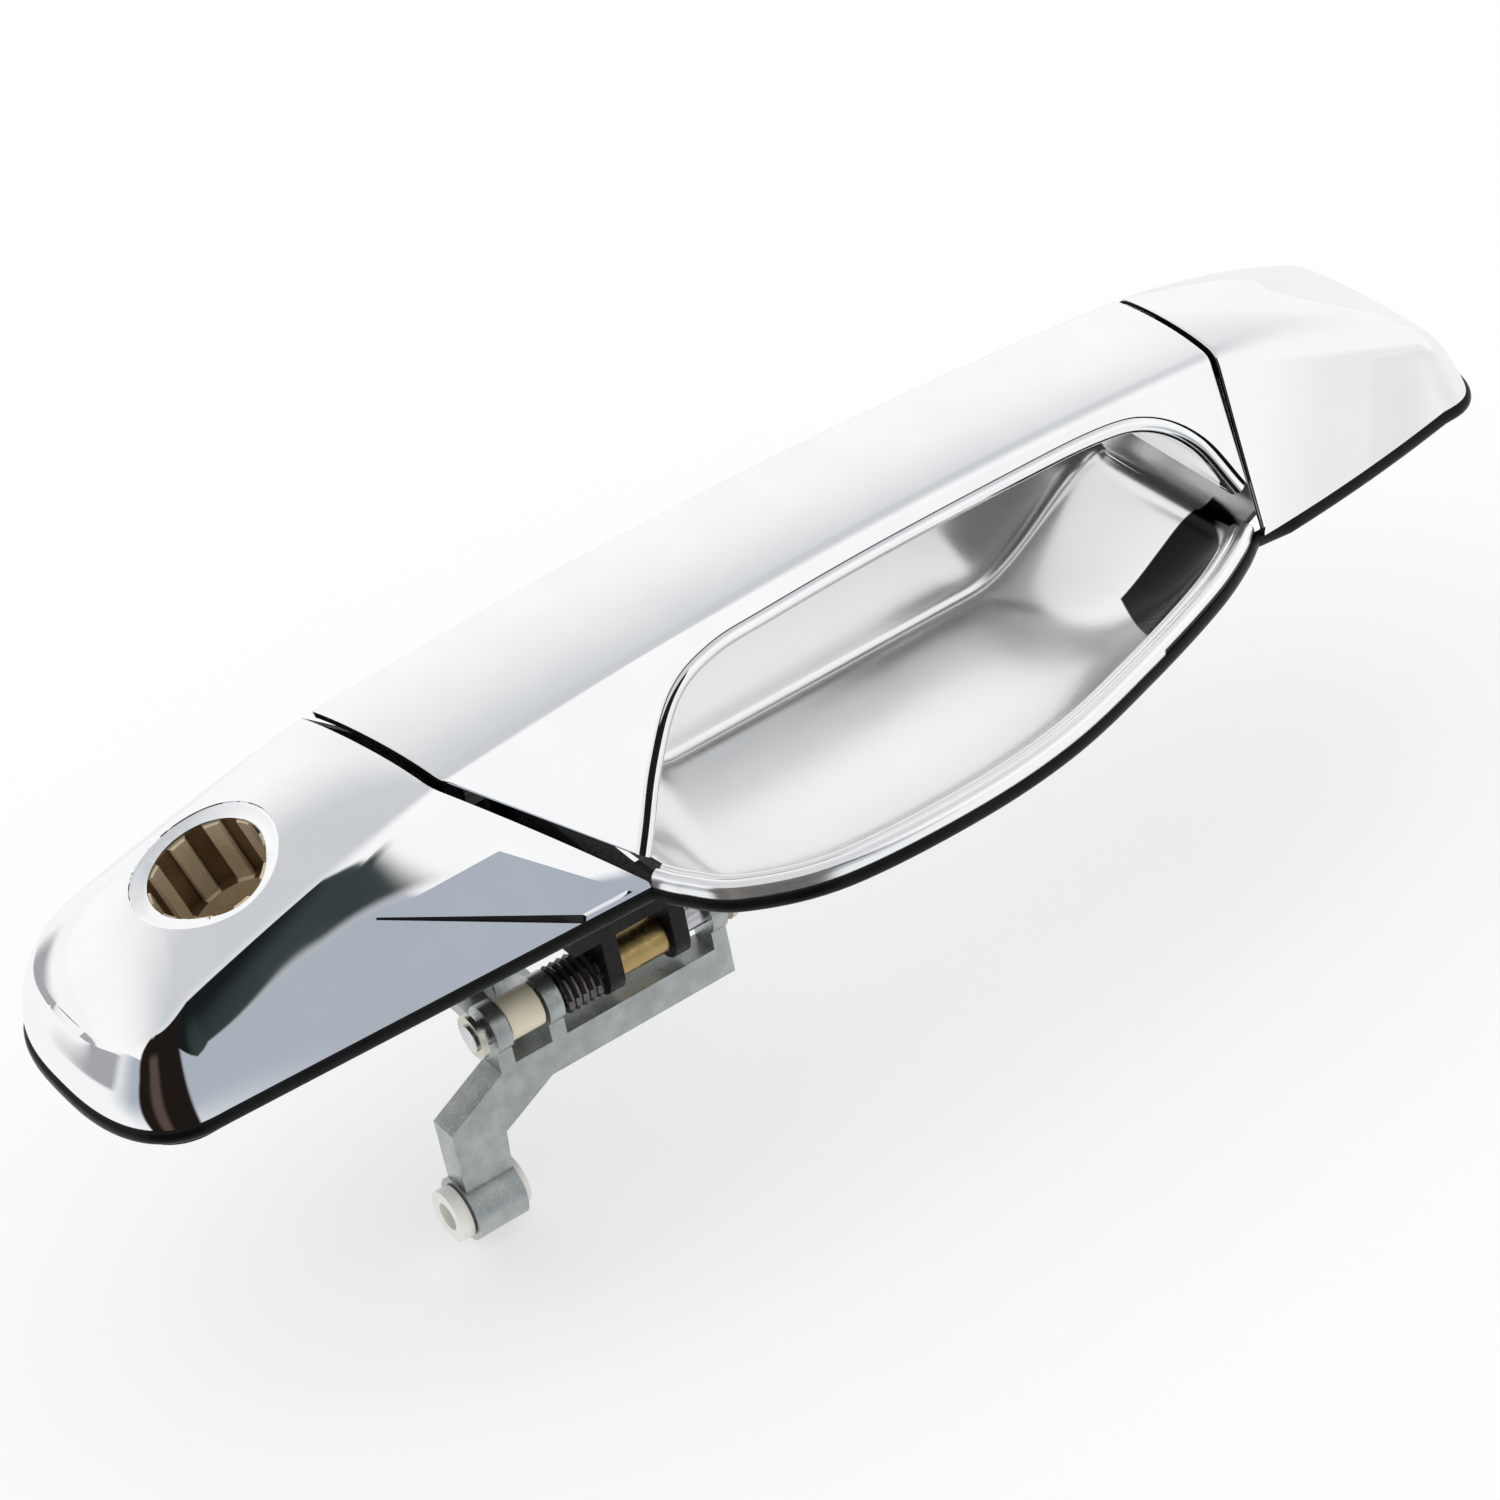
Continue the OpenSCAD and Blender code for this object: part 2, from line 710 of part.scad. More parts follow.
module door_gasket() {
    color(black_colour)
        linear_extrude(gasket_thickness - 0.02)
            difference() {
                polygon(base_outline(0.7));
                polygon(base_outline(-gasket_land));
            }
}

// ---- Finger cup and fixed cap ----
cup_rows = 24;
function ramp(x, low, high) =
    let (t = min(max((x - low) / (high - low), 0), 1))
    t * t * (3 - 2 * t);
function floor_z(x) =
    lerp(cup_floor_z, rim_z - 1.5, max(1 - ramp(x, -42, -14), ramp(x, 50, 84)));

function cup_row(t) =
    let (
        rim = rim_point(t),
        out = rim_out(t),
        x = lerp(-41, 84, t),
        deep = floor_z(x),
        start = [rim[0] - out[0] * 2.2, rim[1] - out[1] * 2.2, rim_z - 0.4],
        floor_end = [x, cup_back_y, deep],
        dip = [
            lerp(start[0], floor_end[0], 0.12), lerp(start[1], floor_end[1], 0.12),
            lerp(start[2], deep, 0.7)
        ],
        flat = [lerp(start[0], floor_end[0], 0.5), lerp(start[1], floor_end[1], 0.5), deep],
        steps = 7
    )
    concat(
        [
            for (angle = [180, 130, 90, 50])
                [
                    rim[0] - out[0] * rim_r * cos(angle),
                    rim[1] - out[1] * rim_r * cos(angle),
                    angle == 180 ? seal_z : rim_z + rim_r * sin(angle) - 0.2
                ]
        ],
        [for (k = [0:steps]) bend3(start, dip, flat, floor_end, k / steps)],
        [
            [x, cup_back_y + 1.8, lerp(deep, flange_z, 0.1)],
            [x, cup_back_y + 3, lerp(deep, flange_z, 0.35)],
            [x, cup_back_y + 5, flange_z],
            [x, flange_y, flange_z],
            [x, flange_y + 0.4, seal_z]
        ]
    );

// Back of a grid, moved by the wall thickness along the surface normal
function grid_back(rows, wall) = [
    for (i = [0:len(rows) - 1])
        [
            for (j = [0:len(rows[0]) - 1])
                let (
                    along = rows[min(i + 1, len(rows) - 1)][j] - rows[max(i - 1, 0)][j],
                    over = rows[i][min(j + 1, len(rows[0]) - 1)] - rows[i][max(j - 1, 0)],
                    normal = unit(cross(along, over)),
                    moved = rows[i][j] - normal * wall
                )
                (j == 0 || j == len(rows[0]) - 1) ? [moved[0], moved[1], rows[i][j][2]] : moved
        ]
];

module bezel_housing() {
    caps = [for (k = [0:cap_rows]) fixed_row(k)];
    cap_backs = [for (k = [0:cap_rows]) inward(caps[k], cap_heading(k, 1), shell_wall)];
    cups = [for (k = [0:cup_rows]) cup_row(k / cup_rows)];
    color(chrome_colour) {
        cap_shell(caps, cap_backs, 1);
        translate([89, -24.6, seal_z + 0.2]) cube([4, 49.2, 1.8]);
        translate([ledge_from_x, -ledge_half, seal_z - 1.2]) cube([11, 2 * ledge_half, 2]);
        skin_pair(grid_back(cups, shell_wall), cups);
        screw_bosses(housing_screw_at);
    }
}

// ---- Chassis ----
module rounded_plate(x0, x1, half, corner) {
    for (side = [-1, 1])
        for (x = [x0 + corner, x1 - corner])
            translate([x, side * (half - corner)]) circle(r = corner, $fn = round_fn);
    translate([x0 + corner, -half]) square([x1 - x0 - 2 * corner, 2 * half]);
    translate([x0, corner - half]) square([x1 - x0, 2 * (half - corner)]);
}

lug_thick = 3;
crank_lug_x = [-49.5, -36];
chassis_x = [-136, -48];
bracket_x = [95.5, 136];
rail_x = [-60, bracket_x[0] + 8];
rail_y = 19.5;
rail_thick = 2;
rail_bottom_z = -13;
rail_high = plate_bottom_z - clear - rail_bottom_z;
tongue_high = plate_bottom_z + 2 - rail_bottom_z;
// Web that closes the gap between the key cap and the cup
web_x = [-52, -42.8];
web_y = [-25.6, 15.4];
web_z = [0.9, 2.1];

module plate_holes() {
    for (x = stud_x)
        translate([x, stud_y, -20]) cylinder(r = stud_neck_r, h = 40, $fn = round_fn);
    for (p = concat(cap_screw_at, housing_screw_at))
        translate([p[0], p[1], -20]) cylinder(r = 1.7, h = 40, $fn = round_fn);
}

module chassis_frame() {
    color(black_colour)
        difference() {
            union() {
                translate([0, 0, plate_bottom_z])
                    linear_extrude(plate_top_z - plate_bottom_z)
                        rounded_plate(chassis_x[0], chassis_x[1], 21, 9);
                translate([rail_x[0], 16, rail_bottom_z])
                    cube([chassis_x[1] - rail_x[0], rail_y - 16, tongue_high]);
                translate([web_x[0], web_y[0], web_z[0]])
                    cube([web_x[1] - web_x[0], web_y[1] - web_y[0], web_z[1] - web_z[0]]);
                for (p = bumper_at)
                    translate([p[0], p[1], plate_top_z - 1])
                        cylinder(r = 2.4, h = 17 - plate_top_z + 1, $fn = round_fn);
                crank_lugs();
            }
            translate([-80, crank_y, crank_z]) rotate([0, 90, 0])
                cylinder(r = crank_pin_r, h = 60, $fn = round_fn);
            leg_slot(0, -20, 20);
            lock_axis() translate([0, 0, -50]) cylinder(r = 6, h = 50, $fn = round_fn);
            plate_holes();
        }
}

module hinge_bracket() {
    color(black_colour)
        difference() {
            union() {
                translate([0, 0, plate_bottom_z])
                    linear_extrude(plate_top_z - plate_bottom_z)
                        rounded_plate(bracket_x[0], bracket_x[1], 16, 5);
                translate([bracket_x[0], 14, rail_bottom_z])
                    cube([rail_x[1] - bracket_x[0], rail_y - 14, tongue_high]);
                for (side = [-1, 1])
                    translate([hinge_x, side * (lug_in + lug_out) / 2, 0]) {
                        translate([-4, -lug_thick / 2, plate_top_z - 1])
                            cube([8, lug_thick, hinge_z - plate_top_z + 1]);
                        translate([0, lug_thick / 2, hinge_z]) rotate([90, 0, 0])
                            cylinder(r = 4, h = lug_thick, $fn = round_fn);
                    }
            }
            translate([hinge_x, 20, hinge_z]) rotate([90, 0, 0])
                cylinder(r = hinge_pin_r, h = 40, $fn = round_fn);
            plate_holes();
        }
}

// Strip behind the cup that ties the two ends of the carrier together
module carrier_rail() {
    color(steel_colour)
        translate([rail_x[0], rail_y, rail_bottom_z])
            cube([rail_x[1] - rail_x[0], rail_thick, rail_high]);
}

module crank_lugs() {
    for (x = crank_lug_x)
        translate([x, crank_y, 0]) {
            translate([0, 0, crank_z]) rotate([0, 90, 0])
                cylinder(r = 5, h = lug_thick, $fn = round_fn);
            translate([0, -5, crank_z]) cube([lug_thick, 10, 12]);
        }
    translate([-55, crank_y - 5, -14.5]) cube([22, 10, 3.5]);
    translate([-55, crank_y - 5, -14.5]) cube([6, 10, 12]);
}

// ---- Bell crank ----
ear_left_x = -72;
ear_right_x = -28;
ear_thick = 3;
bar_low = -13.5;
bar_high = -7;
eye_half = 5;
module crank_disc(x, r, thick) {
    translate([x, 0, 0]) rotate([0, 90, 0]) cylinder(r = r, h = thick, $fn = round_fn);
}

module bell_crank() {
    input_x = -61.5;
    arm_top = [-71, -10];
    eye = [rod_eye[0], rod_eye[2] - crank_z];
    color(zinc_colour)
        translate([0, crank_y, crank_z])
            difference() {
                union() {
                    translate([ear_left_x, -3, bar_low])
                        cube([ear_right_x + ear_thick - ear_left_x, 6, bar_high - bar_low]);
                    for (x = [ear_left_x, input_x, ear_right_x]) {
                        crank_disc(x, 4.6, ear_thick);
                        translate([x, -3, bar_low]) cube([ear_thick, 6, -bar_low]);
                    }
                    rotate([-half_swing, 0, 0]) {
                        translate([input_x + 0.2, 2, -2.2])
                            cube([ear_thick - 0.4, input_arm - 2, 4.4]);
                        translate([0, input_arm, 0]) crank_disc(input_x, input_tip_r, ear_thick);
                    }
                    translate([0, 3, 0]) rotate([90, 0, 0]) linear_extrude(6)
                        polygon([
                            [ear_left_x + 5, bar_high - 0.5], [ear_left_x + 0.5, bar_high - 0.5],
                            [eye[0] - 4.5, bar_low - 1], [eye[0] - 4.5, eye[1]],
                            [eye[0] + 4.5, eye[1]], [eye[0] + 5.5, bar_low - 6],
                            [ear_left_x + 10, bar_low + 0.5]
                        ]);
                    translate([eye[0] - eye_half, 0, eye[1]]) rotate([0, 90, 0])
                        cylinder(r = 6, h = 2 * eye_half, $fn = round_fn);
                }
                translate([ear_left_x - 5, 0, 0]) rotate([0, 90, 0])
                    cylinder(r = crank_pin_r + 0.05, h = 60, $fn = round_fn);
                translate([eye[0] - 9, 0, eye[1]]) rotate([0, 90, 0])
                    cylinder(r = clip_body_r + 0.05, h = 16, $fn = round_fn);
            }
}

clip_body_r = 4;
clip_hole_r = 2.6;
module rod_clip() {
    flange = 2.4;
    long = 2 * (eye_half + clear) + flange;
    color(nylon_colour)
        translate([rod_eye[0] - eye_half - clear - flange, rod_eye[1], rod_eye[2]])
            rotate([0, 90, 0])
                difference() {
                    union() {
                        cylinder(r = 4.9, h = flange, $fn = round_fn);
                        cylinder(r = clip_body_r, h = long, $fn = round_fn);
                        translate([0, 0, long]) cylinder(r = 4.6, h = 1.2, $fn = round_fn);
                    }
                    translate([0, 0, -1]) cylinder(r = clip_hole_r, h = 30, $fn = round_fn);
                }
}

pin_from = -75;
pin_to = -22;
module crank_pin() {
    color(steel_colour)
        translate([pin_from, crank_y, crank_z]) rotate([0, 90, 0])
            cylinder(r = crank_pin_r, h = pin_to - pin_from, $fn = round_fn);
}

module pin_collar(x, r, long) {
    translate([x, crank_y, crank_z]) rotate([0, 90, 0])
        difference() {
            cylinder(r = r, h = long, $fn = round_fn);
            translate([0, 0, -1]) cylinder(r = crank_pin_r + 0.05, h = long + 2, $fn = round_fn);
        }
}

module crank_bush_white() {
    color(nylon_colour) pin_collar(-68.6, 3.9, 6.6);
}

module crank_bush_brass() {
    color(brass_colour) pin_collar(-46, 3.6, 9.5);
}

// Torsion spring: a coil round the pin with one leg on the bar and one leg up
spring_wire_r = 0.7;
spring_coil_r = 4;
spring_from = -57.65;
spring_turns = 5;
module return_spring() {
    sides = 6;
    steps_per_turn = 14;
    steps = spring_turns * steps_per_turn;
    pitch = 1.46;
    rows = [
        for (k = [0:steps])
            let (
                angle = 360 * k / steps_per_turn,
                mid = [spring_from + pitch * k / steps_per_turn, cos(angle), sin(angle)]
            )
            [
                for (w = [0:sides - 1])
                    let (
                        turn = 360 * w / sides,
                        r = spring_coil_r + spring_wire_r * cos(turn)
                    )
                    [
                        mid[0] + spring_wire_r * sin(turn),
                        crank_y + r * mid[1],
                        crank_z + r * mid[2]
                    ]
            ]
    ];
    color(steel_colour) {
        loft(rows);
        for (leg = [[spring_from, -8], [spring_from + pitch * spring_turns, 7]])
            translate([leg[0], crank_y + spring_coil_r, crank_z + min(leg[1], 0)])
                cylinder(r = spring_wire_r, h = abs(leg[1]), $fn = round_fn);
    }
}

// ---- Fasteners ----
module push_clip(r) {
    difference() {
        cylinder(r = r + 1.6, h = 1, center = true, $fn = round_fn);
        cylinder(r = r, h = 2, center = true, $fn = round_fn);
    }
}

module pin_retainers() {
    color(steel_colour) {
        for (x = [pin_from + 1, pin_to - 1])
            translate([x, crank_y, crank_z]) rotate([0, 90, 0]) push_clip(crank_pin_r);
        for (side = [-1, 1])
            translate([hinge_x, side * (lug_out + 0.7), hinge_z]) rotate([90, 0, 0])
                push_clip(hinge_pin_r);
    }
}

module mounting_studs() {
    color(steel_colour)
        for (x = stud_x)
            translate([x, stud_y, 0]) {
                translate([0, 0, -stud_reach])
                    cylinder(r = stud_r, h = stud_reach + neck_from_z, $fn = round_fn);
                translate([0, 0, neck_from_z])
                    cylinder(r = stud_neck_r, h = plate_top_z - neck_from_z, $fn = round_fn);
                translate([0, 0, plate_top_z]) cylinder(r = 5, h = 2, $fn = 6);
            }
}

module screw(shank_r, long, head_r) {
    translate([0, 0, -2.2])
        difference() {
            cylinder(r = head_r, h = 2.2, $fn = round_fn);
            translate([-0.5, -head_r, -1]) cube([1, 2 * head_r, 2]);
        }
    cylinder(r = shank_r, h = long, $fn = round_fn);
}

module cap_screws() {
    color(steel_colour)
        for (p = cap_screw_at)
            translate([p[0], p[1], plate_bottom_z]) screw(1.3, 15, 3);
}

module housing_screws() {
    color(steel_colour)
        for (p = housing_screw_at)
            translate([p[0], p[1], plate_bottom_z]) screw(1.3, 15, 3);
}

module strap_screws() {
    color(steel_colour)
        for (p = strap_screw_at)
            translate([p[0], p[1], block_bottom_z - 2.2]) screw(1.5, 7, 2.6);
}

key_cap();
lock_sleeve();
strap_cover();
strap_liner();
bezel_housing();
door_gasket();
chassis_frame();
hinge_bracket();
carrier_rail();
strap_core();
strap_pivot_pin();
pivot_bushes();
pull_leg();
leg_guide();
strap_bumpers();
bell_crank();
crank_pin();
crank_bush_white();
crank_bush_brass();
return_spring();
rod_clip();
pin_retainers();
mounting_studs();
cap_screws();
housing_screws();
strap_screws();
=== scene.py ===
"""Looks of the car door handle: smooth chrome skins over the CAD frame, and its finishes.

Lengths are millimetres, as in part.scad, until a mesh is made from them.
"""

import math

import bmesh
import bpy
from mathutils import Matrix, Vector
from mathutils.bvhtree import BVHTree
from mathutils.geometry import intersect_line_line
from mathutils.interpolate import poly_3d_calc

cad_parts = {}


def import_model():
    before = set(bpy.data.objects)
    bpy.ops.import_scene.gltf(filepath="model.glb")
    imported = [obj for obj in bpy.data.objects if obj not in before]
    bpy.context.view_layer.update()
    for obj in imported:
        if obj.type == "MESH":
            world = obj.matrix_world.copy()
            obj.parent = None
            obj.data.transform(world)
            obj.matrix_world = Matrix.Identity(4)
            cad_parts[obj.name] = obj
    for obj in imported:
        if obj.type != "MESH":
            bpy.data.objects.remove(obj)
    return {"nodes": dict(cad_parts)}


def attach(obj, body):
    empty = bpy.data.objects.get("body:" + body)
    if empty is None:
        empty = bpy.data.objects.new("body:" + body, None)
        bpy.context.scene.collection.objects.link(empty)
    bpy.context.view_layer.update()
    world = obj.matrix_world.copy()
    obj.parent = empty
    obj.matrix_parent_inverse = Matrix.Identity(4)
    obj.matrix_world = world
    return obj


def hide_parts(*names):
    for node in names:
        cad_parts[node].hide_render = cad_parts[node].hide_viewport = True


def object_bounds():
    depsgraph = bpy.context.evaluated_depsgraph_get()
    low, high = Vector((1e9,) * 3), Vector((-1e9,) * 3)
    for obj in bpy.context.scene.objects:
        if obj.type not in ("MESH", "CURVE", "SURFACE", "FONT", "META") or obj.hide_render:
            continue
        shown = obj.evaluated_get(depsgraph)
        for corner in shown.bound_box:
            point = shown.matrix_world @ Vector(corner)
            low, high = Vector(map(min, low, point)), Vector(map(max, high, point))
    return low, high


MM = 0.001

# ---- Dimensions, as in part.scad ----
OVERALL_LENGTH = 283.8
BASE_HALF_WIDTH = 25.5
SEAM_FLARE = 3.2
SHELL_WALL = 2.0
CREASE_HALF_KEY = 15.5
CREASE_HALF_HINGE = 12.5
FAR_EXTRA = 2.0
CREASE_HEIGHT = 32.5
CREASE_HEIGHT_HINGE = 31.8
PART_SLANT = 5.0
STRAP_BOW = 3.8
CROWN_HEIGHT = 1.3
KEY_GAP = 2.1
HINGE_GAP = 1.4
LOCK_BORE_R = 10.0
LOCK_LEAN = 15.0
SEAL_Z = 2.5
AXIS_Z = 8.0
KEY_END_X = -141.3
TIP_END_X = KEY_END_X + OVERALL_LENGTH
PART_KEY_X = -73.0
PART_HINGE_X = 91.0
SEAM_X = -44.0

NOSE_CENTRE_X = -125.0
NOSE_CREASE_X = NOSE_CENTRE_X + 1
NOSE_REACH = NOSE_CENTRE_X - KEY_END_X
NOSE_LIP_Z = 11.5
NOSE_LIP_IN = 0.8
NOSE_LIP_HALF = BASE_HALF_WIDTH - 2
NOSE_POWER = 2.6
SPINE_KEY_X = -118.0
SPINE_FALL = 0.0038
KEY_CREASE_DROP = 12.0
KEY_CREASE_POWER = 1.15
# Radius of the crease at the parting, where the nose starts and at the nose's lip
KEY_CREASE_R = (2.0, 4.5, 2.5)
KEY_BELLY = 0.6
LOCK_X = -108.0

TIP_CENTRE_X = 132.0
TIP_CREASE_X = TIP_CENTRE_X - 1
TIP_REACH = TIP_END_X - TIP_CENTRE_X
TIP_LIP_Z = 11.0
TIP_LIP_IN = 1.5
# Half width of the crease where the tip starts and at the tip's lip
TIP_CREASE_HALF = (16.0, 17.0)
TIP_POWER = 3.2
SPINE_FIXED_X = 116.0
FIXED_FALL = 17.0
FIXED_FALL_POWER = 2.3
FIXED_CREASE_DROP = 12.5
FIXED_CREASE_POWER = 1.3
# Radius of the crease at the hinge, where the tip starts and at the tip's lip
FIXED_CREASE_R = (2.0, 7.0, 5.5)
FIXED_TAPER = 0.045
FIXED_CURVE = 0.0017
HINGE_FOOT_X = 86.5
HINGE_HALF_WIDTH = 26.9

CUP_X = (-41, 84)
CUP_KEY_RISE = (-42, -14)
CUP_HINGE_RISE = (50, 84)
CUP_FLOOR_Z = -11.0
CUP_BACK_Y = 13.0
RIM_R = 1.4
RIM_Z = 4.0
BEAD_R = 0.75
CUP_END_Z = RIM_Z - 1.5
FLANGE_START_Y = CUP_BACK_Y + 6.5
FLANGE_Y = 25.0
FLANGE_Z = RIM_Z + SHELL_WALL - 1.4
FLANGE_LIP = 0.4
# The cup's section: how far along (in plan, downward) its dip lies, and where it runs flat
BOWL_DIP = (0.12, 0.7)
BOWL_FLAT = 0.5
# The four points that the back wall's curve is led by: mm behind the floor, and share of its rise
BACK_WALL = [(0, 0), (2.4, 0), (3, 0.35), (4, 1)]
# The ledge under the strap's arch rises LEDGE_RISE from the rim, and LEDGE_BEND more at its sides
LEDGE_X = (83.4, 94.5)
LEDGE_HALF = 22.6
LEDGE_Z = RIM_Z - 1.45
LEDGE_RISE = 4.2
LEDGE_BEND = 1.0
LEDGE_WALL = 1.0
GASKET_LAND = 1.4
GASKET_BULGE = 0.6
GASKET_REACH = 0.7
# The gasket's straight stretches: along the fixed cap (from, to, step) and behind the cup
GASKET_SIDE_X = (92, 126, 4)
GASKET_BACK_X = (80, -60)
# Wall of the skins whose inner side is hidden: thin enough for the sharp lip of the nose
SKIN_WALL = 1.2
EDGE_R = 0.3
EDGE_FOOT = SEAL_Z + 0.5

STRAP_EDGE = [
    (PART_KEY_X + KEY_GAP, -42, 6), (-63, -39.5, 9.5), (-52, -34, 17.5), (-41, -26.5, 25.5),
    (-28, -18, 28.6), (-10, -7, 29.2), (15, 15, 29.5), (42, 42, 29), (63, 63, 28),
    (74, 73, 25.5), (82, 80, 19.5), (PART_HINGE_X - HINGE_GAP, 84.2, 10),
]
CUP_RIM = [
    (-43.4, -28.5), (-41, -33.5), (-35, -41.4), (-20, -48.4), (5, -50.2), (27, -48),
    (49, -41.4), (68, -34.2), (78.4, -28.8), (84.4, -24.6),
]
LINER_EDGE = 3.0
LINER_INSET = 0.3
STRAP_SKIRT = LINER_EDGE + 0.1
STRAP_CREASE_R = 1.6

# ---- Lock opening ----
LOCK_HOLE_R = LOCK_BORE_R + 0.35
LOCK_RIM_R = 13.3
LOCK_RIM_DEEP = 1.15
LOCK_RAY_START = 12.0
# The sunk ring round the lock as (radius, height): its foot is measured from the hole and from
# LOCK_RIM_DEEP under the cap's surface, its lip from LOCK_RIM_R and the surface itself
RING_FOOT = [(0, 0), (0.1, 0.22), (0.32, 0.38)]
RING_LIP = [(-0.75, -0.42), (-0.35, -0.32), (-0.1, -0.2), (0, 0), (0.1, 0.3)]
FUNNEL_FOOT = -15.0
FUNNEL_TOP = 8.0
SLEEVE_FOOT = -22.1
SLEEVE_LEDGE = SLEEVE_FOOT + 6.4
SLEEVE_FLOOR = 2.0
SLEEVE_FLOOR_HOLE_R = 4.0
SLEEVE_LEDGE_R = LOCK_BORE_R - 0.6
SLEEVE_R = LOCK_BORE_R + 1.6
# How far the sleeve's top stays under the ring
SLEEVE_GAP = 0.02
RIBS = 5
RIB_DEEP = 1.15
# Half width of the slope between rib and groove, as a cosine
RIB_SLOPE = 0.15
LOCK_STEPS = 240
# Numbers of the sides in the sleeve's profile that face the bore
SLEEVE_BORE_SIDES = (4, 5, 6)

# ---- Facet beside the strap, in (x, z) on the near wall of the key cap ----
FACET = [(-90, 18.6), (-66.5, 18.9), (-48, 3.2), (-57, 3.2)]
FACET_RAY_START = -100.0
FACET_DEEP = 0.8
FACET_SINK = 0.12
# The slot reaches SLOT_EDGE above the facet's lower edge, and SLOT_START to SLOT_END below it
SLOT_EDGE = 0.15
SLOT_START = 0.25
SLOT_END = 1.2
# Depth of the slot's floor where it starts and where it ends
SLOT_DEEP = (0.3, FACET_DEEP + 0.5)
WEDGE_HIGH = 4.0
SLOT_HIGH = 5.0

# ---- How finely the skins are drawn ----
SIDE_ROWS = 60
END_ROWS = 72
WALL_STEPS = 22
CORNER_STEPS = 10
TOP_STEPS = 18
STRAP_ROWS = 200
LINER_STEPS = 12
CUP_ROWS = 160
BOWL_STEPS = 40
BACK_STEPS = 12
LEDGE_ROWS = 16
LEDGE_STEPS = 40
GASKET_END_STEPS = 48
GASKET_RIM_STEPS = 80

# ---- Edges and shading of the skins ----
# Points closer than this are joined (metres); the angles are degrees between two faces
WELD = 0.00002
BEVEL_ANGLE = 55
SMOOTH_ANGLE = 35
TUBE_ANGLE = 50
SLEEVE_ANGLE = 30
# A cut skin takes the normals of its uncut copy where it lies this close to it (mm) and turns
# away from it by no more than this (cosine): once for a whole face, once for each of its corners
SHADE_FACE = (0.05, 0.985)
SHADE_CORNER = (0.02, 0.9)

# ---- Plating: plain colour, metallic and roughness, and what its haze spreads them over ----
CHROME = ((0.93, 0.94, 0.945), 1.0, 0.03)
CHROME_COLOURS = ((0.91, 0.92, 0.93), (0.955, 0.96, 0.96))
CHROME_ROUGHNESS = (0.02, 0.04)
CUP_PLATE = ((0.95, 0.955, 0.96), 0.88, 0.2)
CUP_COLOURS = ((0.96, 0.965, 0.965), (0.99, 0.99, 0.985))
CUP_ROUGHNESS = (0.16, 0.24)
# The stretch of a noise's output that colours and roughness are spread over
NOISE_LOW = 0.3
NOISE_HIGH = 0.7
# Height of the finishes' fine bumps, in metres
BUMP_DEEP = 0.0002

# ---- The painted reflection at the hinge end of the cup, a near-black patch: where it starts, and its edge, in metres ----
PAINTED_REFLECTION_X = 0.0695
PAINTED_REFLECTION_SLANT = 0.4
PAINTED_REFLECTION_Y = -0.0122
PAINTED_REFLECTION_Z = 0.0036
PAINTED_REFLECTION_SOFT = 0.0002
PAINTED_REFLECTION_COLOUR = (0.006, 0.006, 0.007, 1)

# ---- Camera and floor ----
CAMERA_PLACE = (-343.04, -641.34, 524.90)
CAMERA_ACROSS = (0.81121, -0.56126, -0.16411)
CAMERA_UPWARD = (0.44902, 0.41808, 0.78968)
CAMERA_LENS = 125.763
# The floor's half side and how far it lies below the part, in metres
FLOOR_SIZE = 3.0
FLOOR_GAP = 0.002
FLOOR_GLOW = 0.45

# ---- What stands round the handle to be mirrored in it ----
# In degrees: turn runs from straight in front toward the fixed cap, and rise is above the horizon
WHITE = (1, 1, 1, 1)
OVERHEAD = (0.62, 0.64, 0.66, 1)
OVERHEAD_RISE = (24, 64)
LOW_GREY = (0.42, 0.46, 0.52, 1)
LOW_RISE = 2.0
LOW_SOFT = (0.6, -0.6)
# What the low grey turns into, and over which stretch of rise or turn
LOW_FADES = [
    ("rise", (-6, -40), (0.9, 0.92, 0.93, 1)),
    ("turn", (-85, -120), (0.97, 0.97, 0.97, 1)),
    ("turn", (20.5, 23.5), (0.93, 0.93, 0.93, 1)),
]
# The slate wall fades in at SLATE_START, darkens over SLATE_DARKENS and ends at SLATE_EDGE; its
# foot and its top slope from (turn, turn, rise, rise)
SLATE = (0.04, 0.053, 0.053, 1)
SLATE_DEEP = (0.008, 0.011, 0.013, 1)
SLATE_START = (-70, -64)
SLATE_DARKENS = (14, 2)
SLATE_EDGE = (15.8, 16.6)
SLATE_FOOT = (-6.0, 14.2, 19.0, 5.5)
SLATE_TOP = (7.0, 15.4, 46, 10)
SLATE_FOOT_SOFT = (-0.5, 0.5)
SLATE_TOP_SOFT = (-1.0, 1.0)
# Dark and grey screens: turn, rise, softness along both, how strong they are, and colour
SCREENS = [
    ((-79, -4), (-45, 44), (5, 6), 1, (0.014, 0.01, 0.008, 1)),
    ((-60, -44), (-45, 24), (9, 8), 0.75, (0.12, 0.085, 0.07, 1)),
    ((-162, -110), (-6, 13), (10, 4), 0.7, (0.14, 0.15, 0.18, 1)),
    ((30, 60), (-4, 8), (14, 6), 0.3, (0.6, 0.62, 0.6, 1)),
]


# ---- Geometry helpers ----
def lerp(a, b, t):
    return a + (b - a) * t


def vec(*xyz):
    return Vector(xyz)


def bend(a, b, c, t):
    """A point on the curve from a to c that heads for b."""
    return a * (1 - t) ** 2 + b * 2 * t * (1 - t) + c * t * t


def bend3(a, b, c, d, t):
    """A point on the cubic curve from a to d that heads for b and comes from c."""
    return a * (1 - t) ** 3 + b * 3 * t * (1 - t) ** 2 + c * 3 * t * t * (1 - t) + d * t**3


def signed_pow(value, power):
    return math.copysign(abs(value) ** power, value)


def ramp(x, low, high):
    t = min(max((x - low) / (high - low), 0), 1)
    return t * t * (3 - 2 * t)


